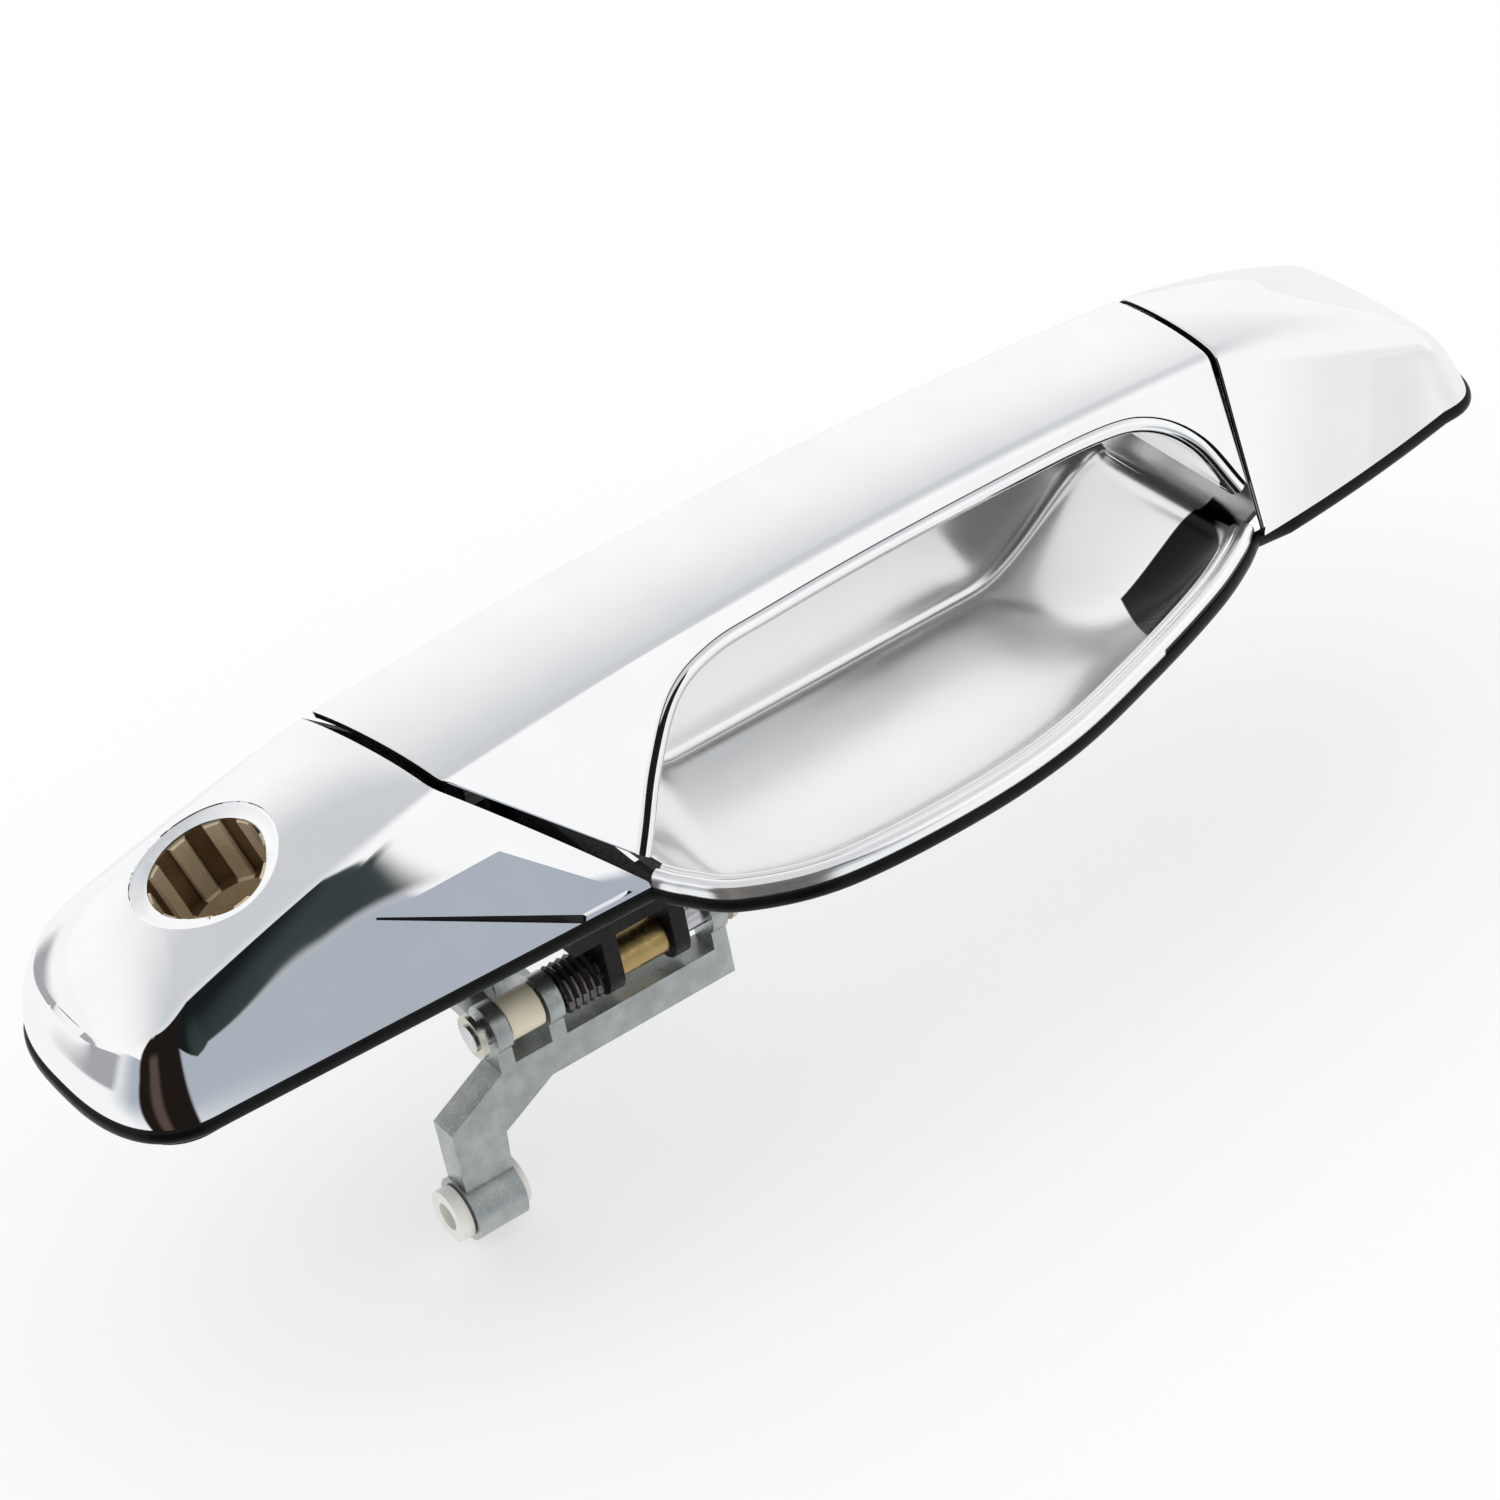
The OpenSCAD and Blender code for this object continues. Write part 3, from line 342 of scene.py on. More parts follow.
def through(points, t):
    """A point on the smooth curve through a list of points; t runs from 0 to 1."""
    spans = len(points) - 1
    k = min(int(t * spans), spans - 1)
    f = t * spans - k
    b, c = Vector(points[k]), Vector(points[k + 1])
    a = Vector(points[k - 1]) if k > 0 else 2 * b - c
    d = Vector(points[k + 2]) if k < spans - 1 else 2 * c - b
    return (
        b + (c - a) * f / 2 + (2 * a - 5 * b + 4 * c - d) * f * f / 2
        + (3 * b - a - 3 * c + d) * f**3 / 2
    )


def section(base, crease, lifted, spine, radius, belly=0.0):
    """One cross-section from the base up the wall, round the crease and over to the spine."""
    below = crease + (base - crease).normalized() * radius
    beyond = crease + (lifted - crease).normalized() * radius
    outward = vec(base.x - crease.x, base.y - crease.y, 0)
    outward = vec(0, math.copysign(1, base.y), 0) if outward.length < 0.1 else outward.normalized()
    swell = base.lerp(below, 0.5) + outward * 2 * belly
    near, far = intersect_line_line(swell, below, lifted, beyond) or (crease, crease)
    corner = near.lerp(far, 0.5) if belly else crease
    points = [bend(base, swell, below, k / WALL_STEPS) for k in range(WALL_STEPS)]
    points += [bend(below, corner, beyond, k / CORNER_STEPS) for k in range(CORNER_STEPS + 1)]
    points += [bend(beyond, lifted, spine, k / TOP_STEPS) for k in range(1, TOP_STEPS + 1)]
    return points


# ---- Caps ----
def key_spine_z(x):
    return CREASE_HEIGHT + CROWN_HEIGHT - SPINE_FALL * (PART_KEY_X - x) ** 2


def key_crease_z(s):
    return CREASE_HEIGHT - KEY_CREASE_DROP * s**KEY_CREASE_POWER


def wall_y(z, side, s):
    foot = BASE_HALF_WIDTH + (SEAM_FLARE * (1 - s) if side < 0 else 0)
    top = CREASE_HALF_KEY + (FAR_EXTRA if side > 0 else 0)
    return lerp(foot, top, (z - SEAL_Z) / (CREASE_HEIGHT - SEAL_Z))


def parting_x(y):
    return PART_KEY_X - PART_SLANT * (y + CREASE_HALF_KEY) / (2 * CREASE_HALF_KEY)


def key_side(s, side):
    z = key_crease_z(s)
    spine_x = lerp(parting_x(0), SPINE_KEY_X, s)
    crease_y = side * wall_y(z, side, s)
    crease = vec(lerp(parting_x(crease_y), NOSE_CREASE_X, s), crease_y, z)
    spine = vec(spine_x, 0, key_spine_z(spine_x))
    slope = 2 * SPINE_FALL * (PART_KEY_X - spine_x)
    mid_x = (crease.x + spine_x) / 2
    foot_shift = parting_x(crease_y) - PART_KEY_X if side > 0 else 0
    base = vec(
        lerp(SEAM_X + foot_shift, NOSE_CENTRE_X, s), side * wall_y(SEAL_Z, side, s), SEAL_Z
    )
    lifted = vec(mid_x, crease.y / 2, spine.z + slope * (mid_x - spine_x))
    return section(base, crease, lifted, spine, lerp(*KEY_CREASE_R[:2], s), KEY_BELLY)


def key_nose(angle):
    across = signed_pow(math.cos(angle), 2 / NOSE_POWER)
    ahead = max(math.sin(angle), 0) ** (2 / NOSE_POWER)
    z = lerp(key_crease_z(1), NOSE_LIP_Z, ahead)
    crease = vec(
        NOSE_CREASE_X - (NOSE_REACH - NOSE_LIP_IN) * ahead,
        across * lerp(wall_y(key_crease_z(1), across, 1), NOSE_LIP_HALF, ahead),
        z,
    )
    spine = vec(SPINE_KEY_X, 0, key_spine_z(SPINE_KEY_X))
    slope = 2 * SPINE_FALL * (PART_KEY_X - SPINE_KEY_X)
    mid_x = (crease.x + spine.x) / 2
    base = vec(NOSE_CENTRE_X - NOSE_REACH * ahead, across * BASE_HALF_WIDTH, SEAL_Z)
    lifted = vec(mid_x, crease.y / 2, spine.z + slope * (mid_x - spine.x))
    return section(base, crease, lifted, spine, lerp(*KEY_CREASE_R[1:], ahead), KEY_BELLY)


def fixed_half_width(x):
    d = x - HINGE_FOOT_X
    return HINGE_HALF_WIDTH - FIXED_TAPER * d - FIXED_CURVE * d * d


def fixed_drop(x):
    reach = max(x - PART_HINGE_X, 0) / (TIP_CENTRE_X - PART_HINGE_X)
    return reach**FIXED_FALL_POWER


def fixed_spine_z(x):
    return CREASE_HEIGHT_HINGE + CROWN_HEIGHT - FIXED_FALL * fixed_drop(x)


def fixed_slope(x):
    return -FIXED_FALL * FIXED_FALL_POWER * fixed_drop(x) / max(x - PART_HINGE_X, 0.01)


def fixed_side(s, side):
    base_x = lerp(HINGE_FOOT_X, TIP_CENTRE_X, s)
    spine_x = lerp(PART_HINGE_X, SPINE_FIXED_X, s)
    half = lerp(CREASE_HALF_HINGE + (FAR_EXTRA if side > 0 else 0), TIP_CREASE_HALF[0], s)
    z = CREASE_HEIGHT_HINGE - FIXED_CREASE_DROP * s**FIXED_CREASE_POWER
    crease = vec(lerp(PART_HINGE_X, TIP_CREASE_X, s), side * half, z)
    spine = vec(spine_x, 0, fixed_spine_z(spine_x))
    mid_x = (crease.x + spine_x) / 2
    base = vec(base_x, side * fixed_half_width(base_x), SEAL_Z)
    lifted = vec(mid_x, crease.y / 2, spine.z + fixed_slope(spine_x) * (mid_x - spine_x))
    return section(base, crease, lifted, spine, lerp(*FIXED_CREASE_R[:2], s))


def fixed_tip(angle):
    across = signed_pow(math.cos(angle), 2 / TIP_POWER)
    ahead = max(math.sin(angle), 0) ** (2 / TIP_POWER)
    crease = vec(
        TIP_CREASE_X + (TIP_REACH - TIP_LIP_IN) * ahead,
        across * lerp(*TIP_CREASE_HALF, ahead),
        lerp(CREASE_HEIGHT_HINGE - FIXED_CREASE_DROP, TIP_LIP_Z, ahead),
    )
    spine = vec(SPINE_FIXED_X, 0, fixed_spine_z(SPINE_FIXED_X))
    mid_x = (crease.x + spine.x) / 2
    base = vec(
        TIP_CENTRE_X + TIP_REACH * ahead, across * fixed_half_width(TIP_CENTRE_X), SEAL_Z
    )
    lifted = vec(
        mid_x, crease.y / 2, spine.z + fixed_slope(SPINE_FIXED_X) * (mid_x - spine.x)
    )
    return section(base, crease, lifted, spine, lerp(*FIXED_CREASE_R[1:], ahead))


def cap_rows(side, end):
    """Every section of a cap: up one side, round the end and back along the other side."""
    rows = [side(k / SIDE_ROWS, 1) for k in range(SIDE_ROWS)]
    rows += [end(math.pi * k / END_ROWS) for k in range(END_ROWS + 1)]
    rows += [side(k / SIDE_ROWS, -1) for k in range(SIDE_ROWS - 1, -1, -1)]
    return rows


# ---- Strap ----
def crown_z(x):
    half = (PART_HINGE_X - PART_KEY_X) / 2
    d = (x - (PART_KEY_X + PART_HINGE_X) / 2) / half
    return lerp(CREASE_HEIGHT, CREASE_HEIGHT_HINGE, (d + 1) / 2) + STRAP_BOW * (1 - d * d)


def along(x):
    return (x - PART_KEY_X) / (PART_HINGE_X - PART_KEY_X)


def crease_half(x, side):
    return lerp(CREASE_HALF_KEY, CREASE_HALF_HINGE, along(x)) + (FAR_EXTRA if side > 0 else 0)


def foot_half(x, side):
    foot = BASE_HALF_WIDTH + (SEAM_FLARE if side < 0 else 0)
    return lerp(foot, HINGE_HALF_WIDTH, along(x))


def strap_frame(t):
    """Point on the strap's lower edge, and the direction (x, z) that leads up off the edge."""
    p = through(STRAP_EDGE, t)
    step = through(STRAP_EDGE, min(t + 0.01, 1)) - through(STRAP_EDGE, max(t - 0.01, 0))
    lean = Vector((-step.z, step.y)).normalized()
    return p, lean


def strap_half(t, side, rise):
    p, lean = strap_frame(t)
    x = p.y + lean.x * rise
    z = p.z + lean.y * rise
    top_z = crown_z(p.x)
    half = crease_half(p.x, side)
    wide = lerp(foot_half(p.x, side), half, (z - SEAL_Z) / (top_z - SEAL_Z))
    slant = 1 - ramp(p.x, PART_KEY_X, 0)
    side_x = p.x + slant * (parting_x(side * half) - PART_KEY_X)
    spine_x = p.x + slant * (parting_x(0) - PART_KEY_X)
    foot_shift = slant * (parting_x(half) - PART_KEY_X) if side > 0 else 0
    return section(
        vec(x + foot_shift, side * wide, z),
        vec(side_x, side * half, top_z),
        vec((side_x + spine_x) / 2, side * half / 2, top_z + CROWN_HEIGHT),
        vec(spine_x, 0, top_z + CROWN_HEIGHT),
        STRAP_CREASE_R,
    )


def strap_row(t):
    """One section of the strap's skin, from its far skirt over the spine to its near skirt."""
    far = strap_half(t, 1, STRAP_SKIRT)
    near = strap_half(t, -1, STRAP_SKIRT)
    return far + near[-2::-1]


def liner_loop(t):
    """One closed section of the liner: flat across the strap, with a round edge on each side."""
    p, lean = strap_frame(t)
    radius = LINER_EDGE / 2
    slant = 1 - ramp(p.x, PART_KEY_X, 0)
    points = []
    for side in (1, -1):
        reach = lerp(
            foot_half(p.x, side), crease_half(p.x, side),
            (p.z - SEAL_Z) / (crown_z(p.x) - SEAL_Z),
        ) - LINER_INSET
        shift = slant * (parting_x(crease_half(p.x, side)) - PART_KEY_X) if side > 0 else 0
        for k in range(LINER_STEPS + 1):
            angle = math.radians(side * (90 - 180 * k / LINER_STEPS))
            up = radius * (1 + math.sin(angle))
            out = side * (reach - radius + radius * math.cos(angle))
            points.append(vec(p.y + shift + lean.x * up, out, p.z + lean.y * up))
    return points


# ---- Cup ----
def rim_frame(t):
    """Point on the cup's rim in plan, and the direction that leads out of the cup."""
    p = through(CUP_RIM, t)
    step = through(CUP_RIM, min(t + 0.01, 1)) - through(CUP_RIM, max(t - 0.01, 0))
    return p, Vector((step.y, -step.x)).normalized()


def floor_z(x):
    raised = max(1 - ramp(x, *CUP_KEY_RISE), ramp(x, *CUP_HINGE_RISE))
    return lerp(CUP_FLOOR_Z, CUP_END_Z, raised)


def arc(centre, radius, start, end, steps):
    """Points from one angle to another (degrees) round centre, as (outward, up)."""
    points = []
    for k in range(steps + 1):
        angle = math.radians(start + (end - start) * k / steps)
        across = centre[0] + radius * math.cos(angle)
        points.append((across, centre[1] + radius * math.sin(angle)))
    return points


# Section of the rim as (outward, up): a wide outer bead, a groove and a narrow inner bead
RIM_PROFILE = [(RIM_R, SEAL_Z), *arc((0, RIM_Z - 0.2), RIM_R, 0, 170, 12)]
RIM_PROFILE += arc((0.05 - RIM_R - BEAD_R, RIM_Z), BEAD_R, 15, 165, 8)


def rim_point(rim, out, across, up):
    return vec(rim.x + out.x * across, rim.y + out.y * across, up)


def cup_row(t):
    """One section of the cup: over the rim, down the bowl, up the back wall and out to the flange."""
    rim, out = rim_frame(t)
    x = lerp(*CUP_X, t)
    deep = floor_z(x)
    start = rim_point(rim, out, *RIM_PROFILE[-1])
    floor_end = vec(x, CUP_BACK_Y, deep)
    dip = start.lerp(floor_end, BOWL_DIP[0])
    dip.z = lerp(start.z, deep, BOWL_DIP[1])
    flat = start.lerp(floor_end, BOWL_FLAT)
    flat.z = deep
    points = [rim_point(rim, out, across, up) for across, up in RIM_PROFILE]
    points += [bend3(start, dip, flat, floor_end, k / BOWL_STEPS) for k in range(1, BOWL_STEPS + 1)]
    wall = [vec(x, CUP_BACK_Y + behind, lerp(deep, FLANGE_Z, up)) for behind, up in BACK_WALL]
    points += [bend3(*wall, k / BACK_STEPS) for k in range(1, BACK_STEPS + 1)]
    flange = [(FLANGE_START_Y, FLANGE_Z), (FLANGE_Y, FLANGE_Z), (FLANGE_Y + FLANGE_LIP, SEAL_Z)]
    return points + [vec(x, y, z) for y, z in flange]


def ledge_row(u):
    """A row of the ledge that rises from the cup's end to the hinge, under the strap's arch."""
    row = []
    for k in range(LEDGE_STEPS + 1):
        y = lerp(-LEDGE_HALF, LEDGE_HALF, k / LEDGE_STEPS)
        rise = LEDGE_RISE * ramp(u, 0, 1) + LEDGE_BEND * (abs(y) / LEDGE_HALF) ** 4
        row.append(vec(lerp(*LEDGE_X, u), y, LEDGE_Z + rise))
    return row


# ---- Gasket ----
def round_end(power):
    """Steps round a blunt end as (across, ahead), both as shares of its half width and reach."""
    points = []
    for k in range(GASKET_END_STEPS + 1):
        angle = math.pi * k / GASKET_END_STEPS
        ahead = max(math.sin(angle), 0) ** (2 / power)
        points.append((signed_pow(math.cos(angle), 2 / power), ahead))
    return points


def base_outline(grow):
    """Outline of the chrome where it meets the gasket, seen from the front, moved out by grow."""
    points = []
    for across, ahead in round_end(NOSE_POWER):
        x = NOSE_CENTRE_X - (NOSE_REACH + grow) * ahead
        points.append((x, (BASE_HALF_WIDTH + grow) * across))
    for k in range(GASKET_RIM_STEPS + 1):
        rim, out = rim_frame(k / GASKET_RIM_STEPS)
        points.append(tuple(rim + out * (grow + RIM_R)))
    points += [(x, -fixed_half_width(x) - grow) for x in range(*GASKET_SIDE_X)]
    half = fixed_half_width(TIP_CENTRE_X) + grow
    for across, ahead in reversed(round_end(TIP_POWER)):
        points.append((TIP_CENTRE_X + (TIP_REACH + grow) * ahead, half * across))
    points += [(x, fixed_half_width(x) + grow) for x in reversed(range(*GASKET_SIDE_X))]
    return points + [(x, FLANGE_Y + FLANGE_LIP + grow) for x in GASKET_BACK_X]


def gasket_loops():
    """The gasket's rounded section as closed loops, each at its own width and height."""
    section_points = [(-GASKET_LAND, 0.0)]
    for across, up in arc((0, 0), 1, -90, 90, 8):
        across = GASKET_REACH - GASKET_BULGE + GASKET_BULGE * across
        section_points.append((across, SEAL_Z / 2 * (1 + up)))
    section_points.append((-GASKET_LAND, SEAL_Z))
    return [[vec(x, y, z) for x, y in base_outline(grow)] for grow, z in section_points]


# ---- Mesh makers ----
def piece_from(name, verts, faces, body, material):
    mesh = bpy.data.meshes.new(name)
    mesh.from_pydata([v * MM for v in verts], [], faces)
    obj = bpy.data.objects.new(name, mesh)
    bpy.context.scene.collection.objects.link(obj)
    mesh.materials.append(material)
    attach(obj, body)
    return obj


def grid_faces(rows, wide, closed=False):
    faces = []
    for i in range(rows - 1):
        for j in range(wide if closed else wide - 1):
            n = (j + 1) % wide
            faces.append((i * wide + j, (i + 1) * wide + j, (i + 1) * wide + n, i * wide + n))
    return faces


def skin_from(name, rows, body, materials, outward, closed=False):
    """A skin through rows of points (mm), turned toward outward. Closed rows get end faces."""
    wide = len(rows[0])
    faces = grid_faces(len(rows), wide, closed)
    if closed:
        last = (len(rows) - 1) * wide
        faces += [tuple(range(wide)), tuple(range(last, last + wide))]
    obj = piece_from(name, [p for row in rows for p in row], faces, body, materials[0])
    for material in materials[1:]:
        obj.data.materials.append(material)
    clean(obj, outward)
    return obj


def clean(obj, outward):
    """Welds doubled points and turns every face to the side that outward points at."""
    work = bmesh.new()
    work.from_mesh(obj.data)
    bmesh.ops.remove_doubles(work, verts=work.verts, dist=WELD)
    bmesh.ops.dissolve_degenerate(work, edges=work.edges, dist=WELD / 4)
    bmesh.ops.recalc_face_normals(work, faces=work.faces)
    total = sum((f.normal * f.calc_area()).dot(outward(f.calc_center_median())) for f in work.faces)
    if total < 0:
        bmesh.ops.reverse_faces(work, faces=work.faces)
    work.to_mesh(obj.data)
    work.free()


def apply_modifiers(obj):
    """Turns what the modifiers make into the object's own mesh."""
    made = obj.evaluated_get(bpy.context.evaluated_depsgraph_get())
    mesh = bpy.data.meshes.new_from_object(made)
    obj.modifiers.clear()
    obj.data = mesh


def thicken(obj, wall):
    """Gives a skin its wall. The back and the rim take the second material, if there is one: black,
    which on the rims is painted shade in the gaps between the parts.
    """
    solid = obj.modifiers.new("wall", "SOLIDIFY")
    solid.material_offset = len(obj.data.materials) - 1
    solid.material_offset_rim = solid.material_offset
    solid.thickness = wall * MM
    solid.offset = -1
    solid.use_quality_normals = True
    apply_modifiers(obj)


def soften(obj, angle=SMOOTH_ANGLE):
    for polygon in obj.data.polygons:
        polygon.use_smooth = True
    obj.data.set_sharp_from_angle(angle=math.radians(angle))


def cut(obj, tool):
    bit = obj.modifiers.new("cut", "BOOLEAN")
    bit.operation = "DIFFERENCE"
    bit.solver = "EXACT"
    bit.object = tool
    bit.material_mode = "TRANSFER"
    apply_modifiers(obj)
    bpy.data.objects.remove(tool)


def smooth_copy(obj):
    """What shade_like needs of a skin: its tree, corners and their normals, before it is cut."""
    mesh = obj.data.copy()
    mesh.shade_smooth()
    mesh.set_sharp_from_angle(angle=math.radians(SMOOTH_ANGLE))
    verts = [v.co.copy() for v in mesh.vertices]
    faces = [(list(f.vertices), list(f.loop_indices)) for f in mesh.polygons]
    normals = [Vector(n.vector) for n in mesh.corner_normals]
    tree = BVHTree.FromPolygons(verts, [f[0] for f in faces])
    bpy.data.meshes.remove(mesh)
    return tree, verts, faces, normals


def shade_like(obj, source):
    """Gives the uncut stretches of a skin back the smooth normals of its uncut copy."""
    tree, verts, faces, normals = source
    mesh = obj.data
    result = [Vector(n.vector) for n in mesh.corner_normals]
    for face in mesh.polygons:
        _, facing, _, away = tree.find_nearest(face.center)
        if away > SHADE_FACE[0] * MM or facing.dot(face.normal) < SHADE_FACE[1]:
            continue
        for loop in face.loop_indices:
            corner = mesh.vertices[mesh.loops[loop].vertex_index].co
            place, _, index, away = tree.find_nearest(corner)
            if away > SHADE_CORNER[0] * MM:
                break
            corners, loops = faces[index]
            weights = poly_3d_calc([verts[c] for c in corners], place)
            blend = sum((normals[k] * w for k, w in zip(loops, weights)), Vector()).normalized()
            if blend.dot(face.normal) > SHADE_CORNER[1]:
                result[loop] = blend
    mesh.normals_split_custom_set(result)


def round_edges(obj):
    """Rounds the sharp edges of a thick shell, except those along its foot."""
    work = bmesh.new()
    work.from_mesh(obj.data)
    edges = [
        e for e in work.edges
        if e.is_manifold and e.calc_face_angle(0) > math.radians(BEVEL_ANGLE)
        and min(v.co.z for v in e.verts) > EDGE_FOOT * MM
    ]
    bmesh.ops.bevel(
        work, geom=edges, offset=EDGE_R * MM, segments=3, profile=0.5, affect="EDGES",
        clamp_overlap=True, material=0,
    )
    work.to_mesh(obj.data)
    work.free()


def turn_outward(mesh):
    """Turns the faces of a closed mesh outward."""
    work = bmesh.new()
    work.from_mesh(mesh)
    bmesh.ops.recalc_face_normals(work, faces=work.faces)
    work.to_mesh(mesh)
    work.free()


def tool_from(name, verts, faces, material):
    """A closed solid that is only used for cutting; its material goes on the cut."""
    mesh = bpy.data.meshes.new(name)
    mesh.from_pydata([v * MM for v in verts], [], faces)
    mesh.materials.append(material)
    turn_outward(mesh)
    tool = bpy.data.objects.new(name, mesh)
    bpy.context.scene.collection.objects.link(tool)
    return tool


def lock_place():
    """The frame of the lock opening: its Z leans toward the nose and starts on the spine."""
    return (
        Matrix.Translation(vec(LOCK_X, 0, key_spine_z(LOCK_X)) * MM)
        @ Matrix.Rotation(math.radians(-LOCK_LEAN), 4, "Y")
    )


def heights_round_lock(tree, radius):
    """How high the cap's surface lies round the lock axis, measured along that axis."""
    place = lock_place()
    down = place.to_3x3() @ vec(0, 0, -1)
    heights = []
    for k in range(LOCK_STEPS):
        angle = 2 * math.pi * k / LOCK_STEPS
        start = vec(radius * math.cos(angle), radius * math.sin(angle), LOCK_RAY_START)
        reach = tree.ray_cast(place @ (start * MM), down)[3]
        heights.append(LOCK_RAY_START - reach / MM)
    return heights


def turned(profiles, closed):
    """Points (mm) and faces of a solid about the lock axis, from one (radius, height) list a step."""
    place = lock_place()
    steps = len(profiles)
    wide = len(profiles[0])
    verts = []
    for k, profile in enumerate(profiles):
        angle = 2 * math.pi * k / steps
        for radius, height in profile:
            point = vec(radius * math.cos(angle), radius * math.sin(angle), height)
            verts.append(place @ (point * MM) / MM)
    faces = []
    for k in range(steps):
        n = (k + 1) % steps
        for j in range(wide if closed else wide - 1):
            m = (j + 1) % wide
            faces.append((k * wide + j, n * wide + j, n * wide + m, k * wide + m))
    if not closed:
        faces.append(tuple(k * wide for k in range(steps)))
        faces.append(tuple(k * wide + wide - 1 for k in range(steps)))
    return verts, faces


def lock_funnel(heights, material):
    """The hole for the lock, with a sunk ring round it that follows the cap's surface."""
    profiles = []
    for h in heights:
        profile = [(LOCK_HOLE_R, FUNNEL_FOOT)]
        profile += [(LOCK_HOLE_R + out, h - LOCK_RIM_DEEP + up) for out, up in RING_FOOT]
        profile += [(LOCK_RIM_R + out, h + up) for out, up in RING_LIP]
        profile.append((profile[-1][0], FUNNEL_TOP))
        profiles.append(profile)
    return tool_from("lock_funnel", *turned(profiles, closed=False), material)


def groove_depth(angle):
    """1 in the sleeve's grooves and 0 on its ribs."""
    return ramp(math.cos(2 * RIBS * angle), -RIB_SLOPE, RIB_SLOPE)


def lock_sleeve(heights, rib_metal, groove_shade):
    """The ribbed sleeve in the lock opening, down to its pierced floor. Its grooves take a darker
    copy of its metal: painted shade.
    """
    floor = SLEEVE_FOOT + SLEEVE_FLOOR
    profiles = []
    for k, h in enumerate(heights):
        bore = LOCK_BORE_R + RIB_DEEP * groove_depth(2 * math.pi * k / LOCK_STEPS)
        top = h - LOCK_RIM_DEEP - SLEEVE_GAP
        profiles.append(
            [
                (SLEEVE_FLOOR_HOLE_R, SLEEVE_FOOT), (SLEEVE_R, SLEEVE_FOOT),
                (SLEEVE_R, top - 0.3), (SLEEVE_R - 0.2, top),
                (bore + 0.15, top), (bore, top - 0.15),
                (bore, SLEEVE_LEDGE + 0.2), (SLEEVE_LEDGE_R, SLEEVE_LEDGE),
                (SLEEVE_LEDGE_R, floor), (SLEEVE_FLOOR_HOLE_R, floor),
            ]
        )
    verts, faces = turned(profiles, closed=True)
    sleeve = piece_from("lock_sleeve_skin", verts, faces, "base", rib_metal)
    turn_outward(sleeve.data)
    sleeve.data.materials.append(groove_shade)
    for index, face in enumerate(sleeve.data.polygons):
        step, side = divmod(index, len(profiles[0]))
        in_groove = groove_depth(2 * math.pi * (step + 0.5) / LOCK_STEPS) > 0.5
        # Bore faces in the grooves get the darker copy of the metal, painted shade
        face.material_index = int(in_groove and side in SLEEVE_BORE_SIDES)
    soften(sleeve, SLEEVE_ANGLE)
    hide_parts("lock_sleeve")


def prism(floor, outward, high):
    """Points and faces of a block on a four-cornered floor, high along outward."""
    verts = floor + [point + outward * high for point in floor]
    sides = [(k, (k + 1) % 4, 4 + (k + 1) % 4, 4 + k) for k in range(4)]
    return verts, [(0, 1, 2, 3), (4, 5, 6, 7)] + sides


def facet_tools(tree, chrome, gap_shade):
    """A wedge that cuts the facet into the near wall, and a slot along its lower edge whose walls are
    painted black as the groove's shade.
    """
    on_wall = []
    for x, z in FACET:
        hit = tree.ray_cast(vec(x, FACET_RAY_START, z) * MM, vec(0, 1, 0))[0]
        on_wall.append(hit / MM)
    tip, corner, right, low = on_wall
    outward = (low - tip).cross(corner - tip).normalized()
    outward = outward if outward.y < 0 else -outward
    tip, corner, right = (point - outward * FACET_SINK for point in (tip, corner, right))
    sunk = low - outward * FACET_DEEP
    tilt = (corner - tip).cross(sunk - tip)
    right = right - outward * (right - tip).dot(tilt) / outward.dot(tilt)
    block = prism([tip, corner, right, sunk], outward, WEDGE_HIGH)
    wedge = tool_from("facet_wedge", *block, chrome)

    aside = (low - tip).cross(outward).normalized()
    aside = aside if aside.z < 0 else -aside
    start = tip - outward * SLOT_DEEP[0]
    end = low - outward * SLOT_DEEP[1]
    floor = [
        start - aside * SLOT_EDGE, start + aside * SLOT_START,
        end + aside * SLOT_END, end - aside * SLOT_EDGE,
    ]
    # The slot's walls take the black: painted shade along the groove
    slot = tool_from("facet_slot", *prism(floor, outward, SLOT_HIGH), gap_shade)
    return wedge, slot


# ---- Finishes ----
class Shading:
    """Small helper that adds math nodes to a shader."""

    def __init__(self, tree):
        self.tree = tree

    def put(self, target, value):
        if hasattr(value, "links"):
            self.tree.links.new(value, target)
        else:
            target.default_value = value

    def math(self, operation, *values):
        node = self.tree.nodes.new("ShaderNodeMath")
        node.operation = operation
        for socket, value in zip(node.inputs, values):
            self.put(socket, value)
        return node.outputs[0]

    def step(self, value, low, high):
        """0 below low, 1 above high and smooth between; high may be the lower one."""
        node = self.tree.nodes.new("ShaderNodeMapRange")
        node.interpolation_type = "SMOOTHSTEP"
        self.put(node.inputs["Value"], value)
        node.inputs["From Min"].default_value = low
        node.inputs["From Max"].default_value = high
        return node.outputs["Result"]

    def line(self, value, start, end, at_start, at_end):
        """Runs straight from at_start at start to at_end at end, and level beyond both."""
        node = self.tree.nodes.new("ShaderNodeMapRange")
        self.put(node.inputs["Value"], value)
        for name, number in (
            ("From Min", start), ("From Max", end), ("To Min", at_start), ("To Max", at_end)
        ):
            node.inputs[name].default_value = number
        return node.outputs["Result"]

    def mix(self, factor, a, b):
        node = self.tree.nodes.new("ShaderNodeMix")
        node.data_type = "RGBA"
        self.put(node.inputs["Factor"], factor)
        self.put(node.inputs["A"], a)
        self.put(node.inputs["B"], b)
        return node.outputs["Result"]

    def band(self, value, low, high, soft):
        """1 between low and high, with edges as wide as soft."""
        rise = self.step(value, low - soft / 2, low + soft / 2)
        fall = self.step(value, high + soft / 2, high - soft / 2)
        return self.math("MULTIPLY", rise, fall)


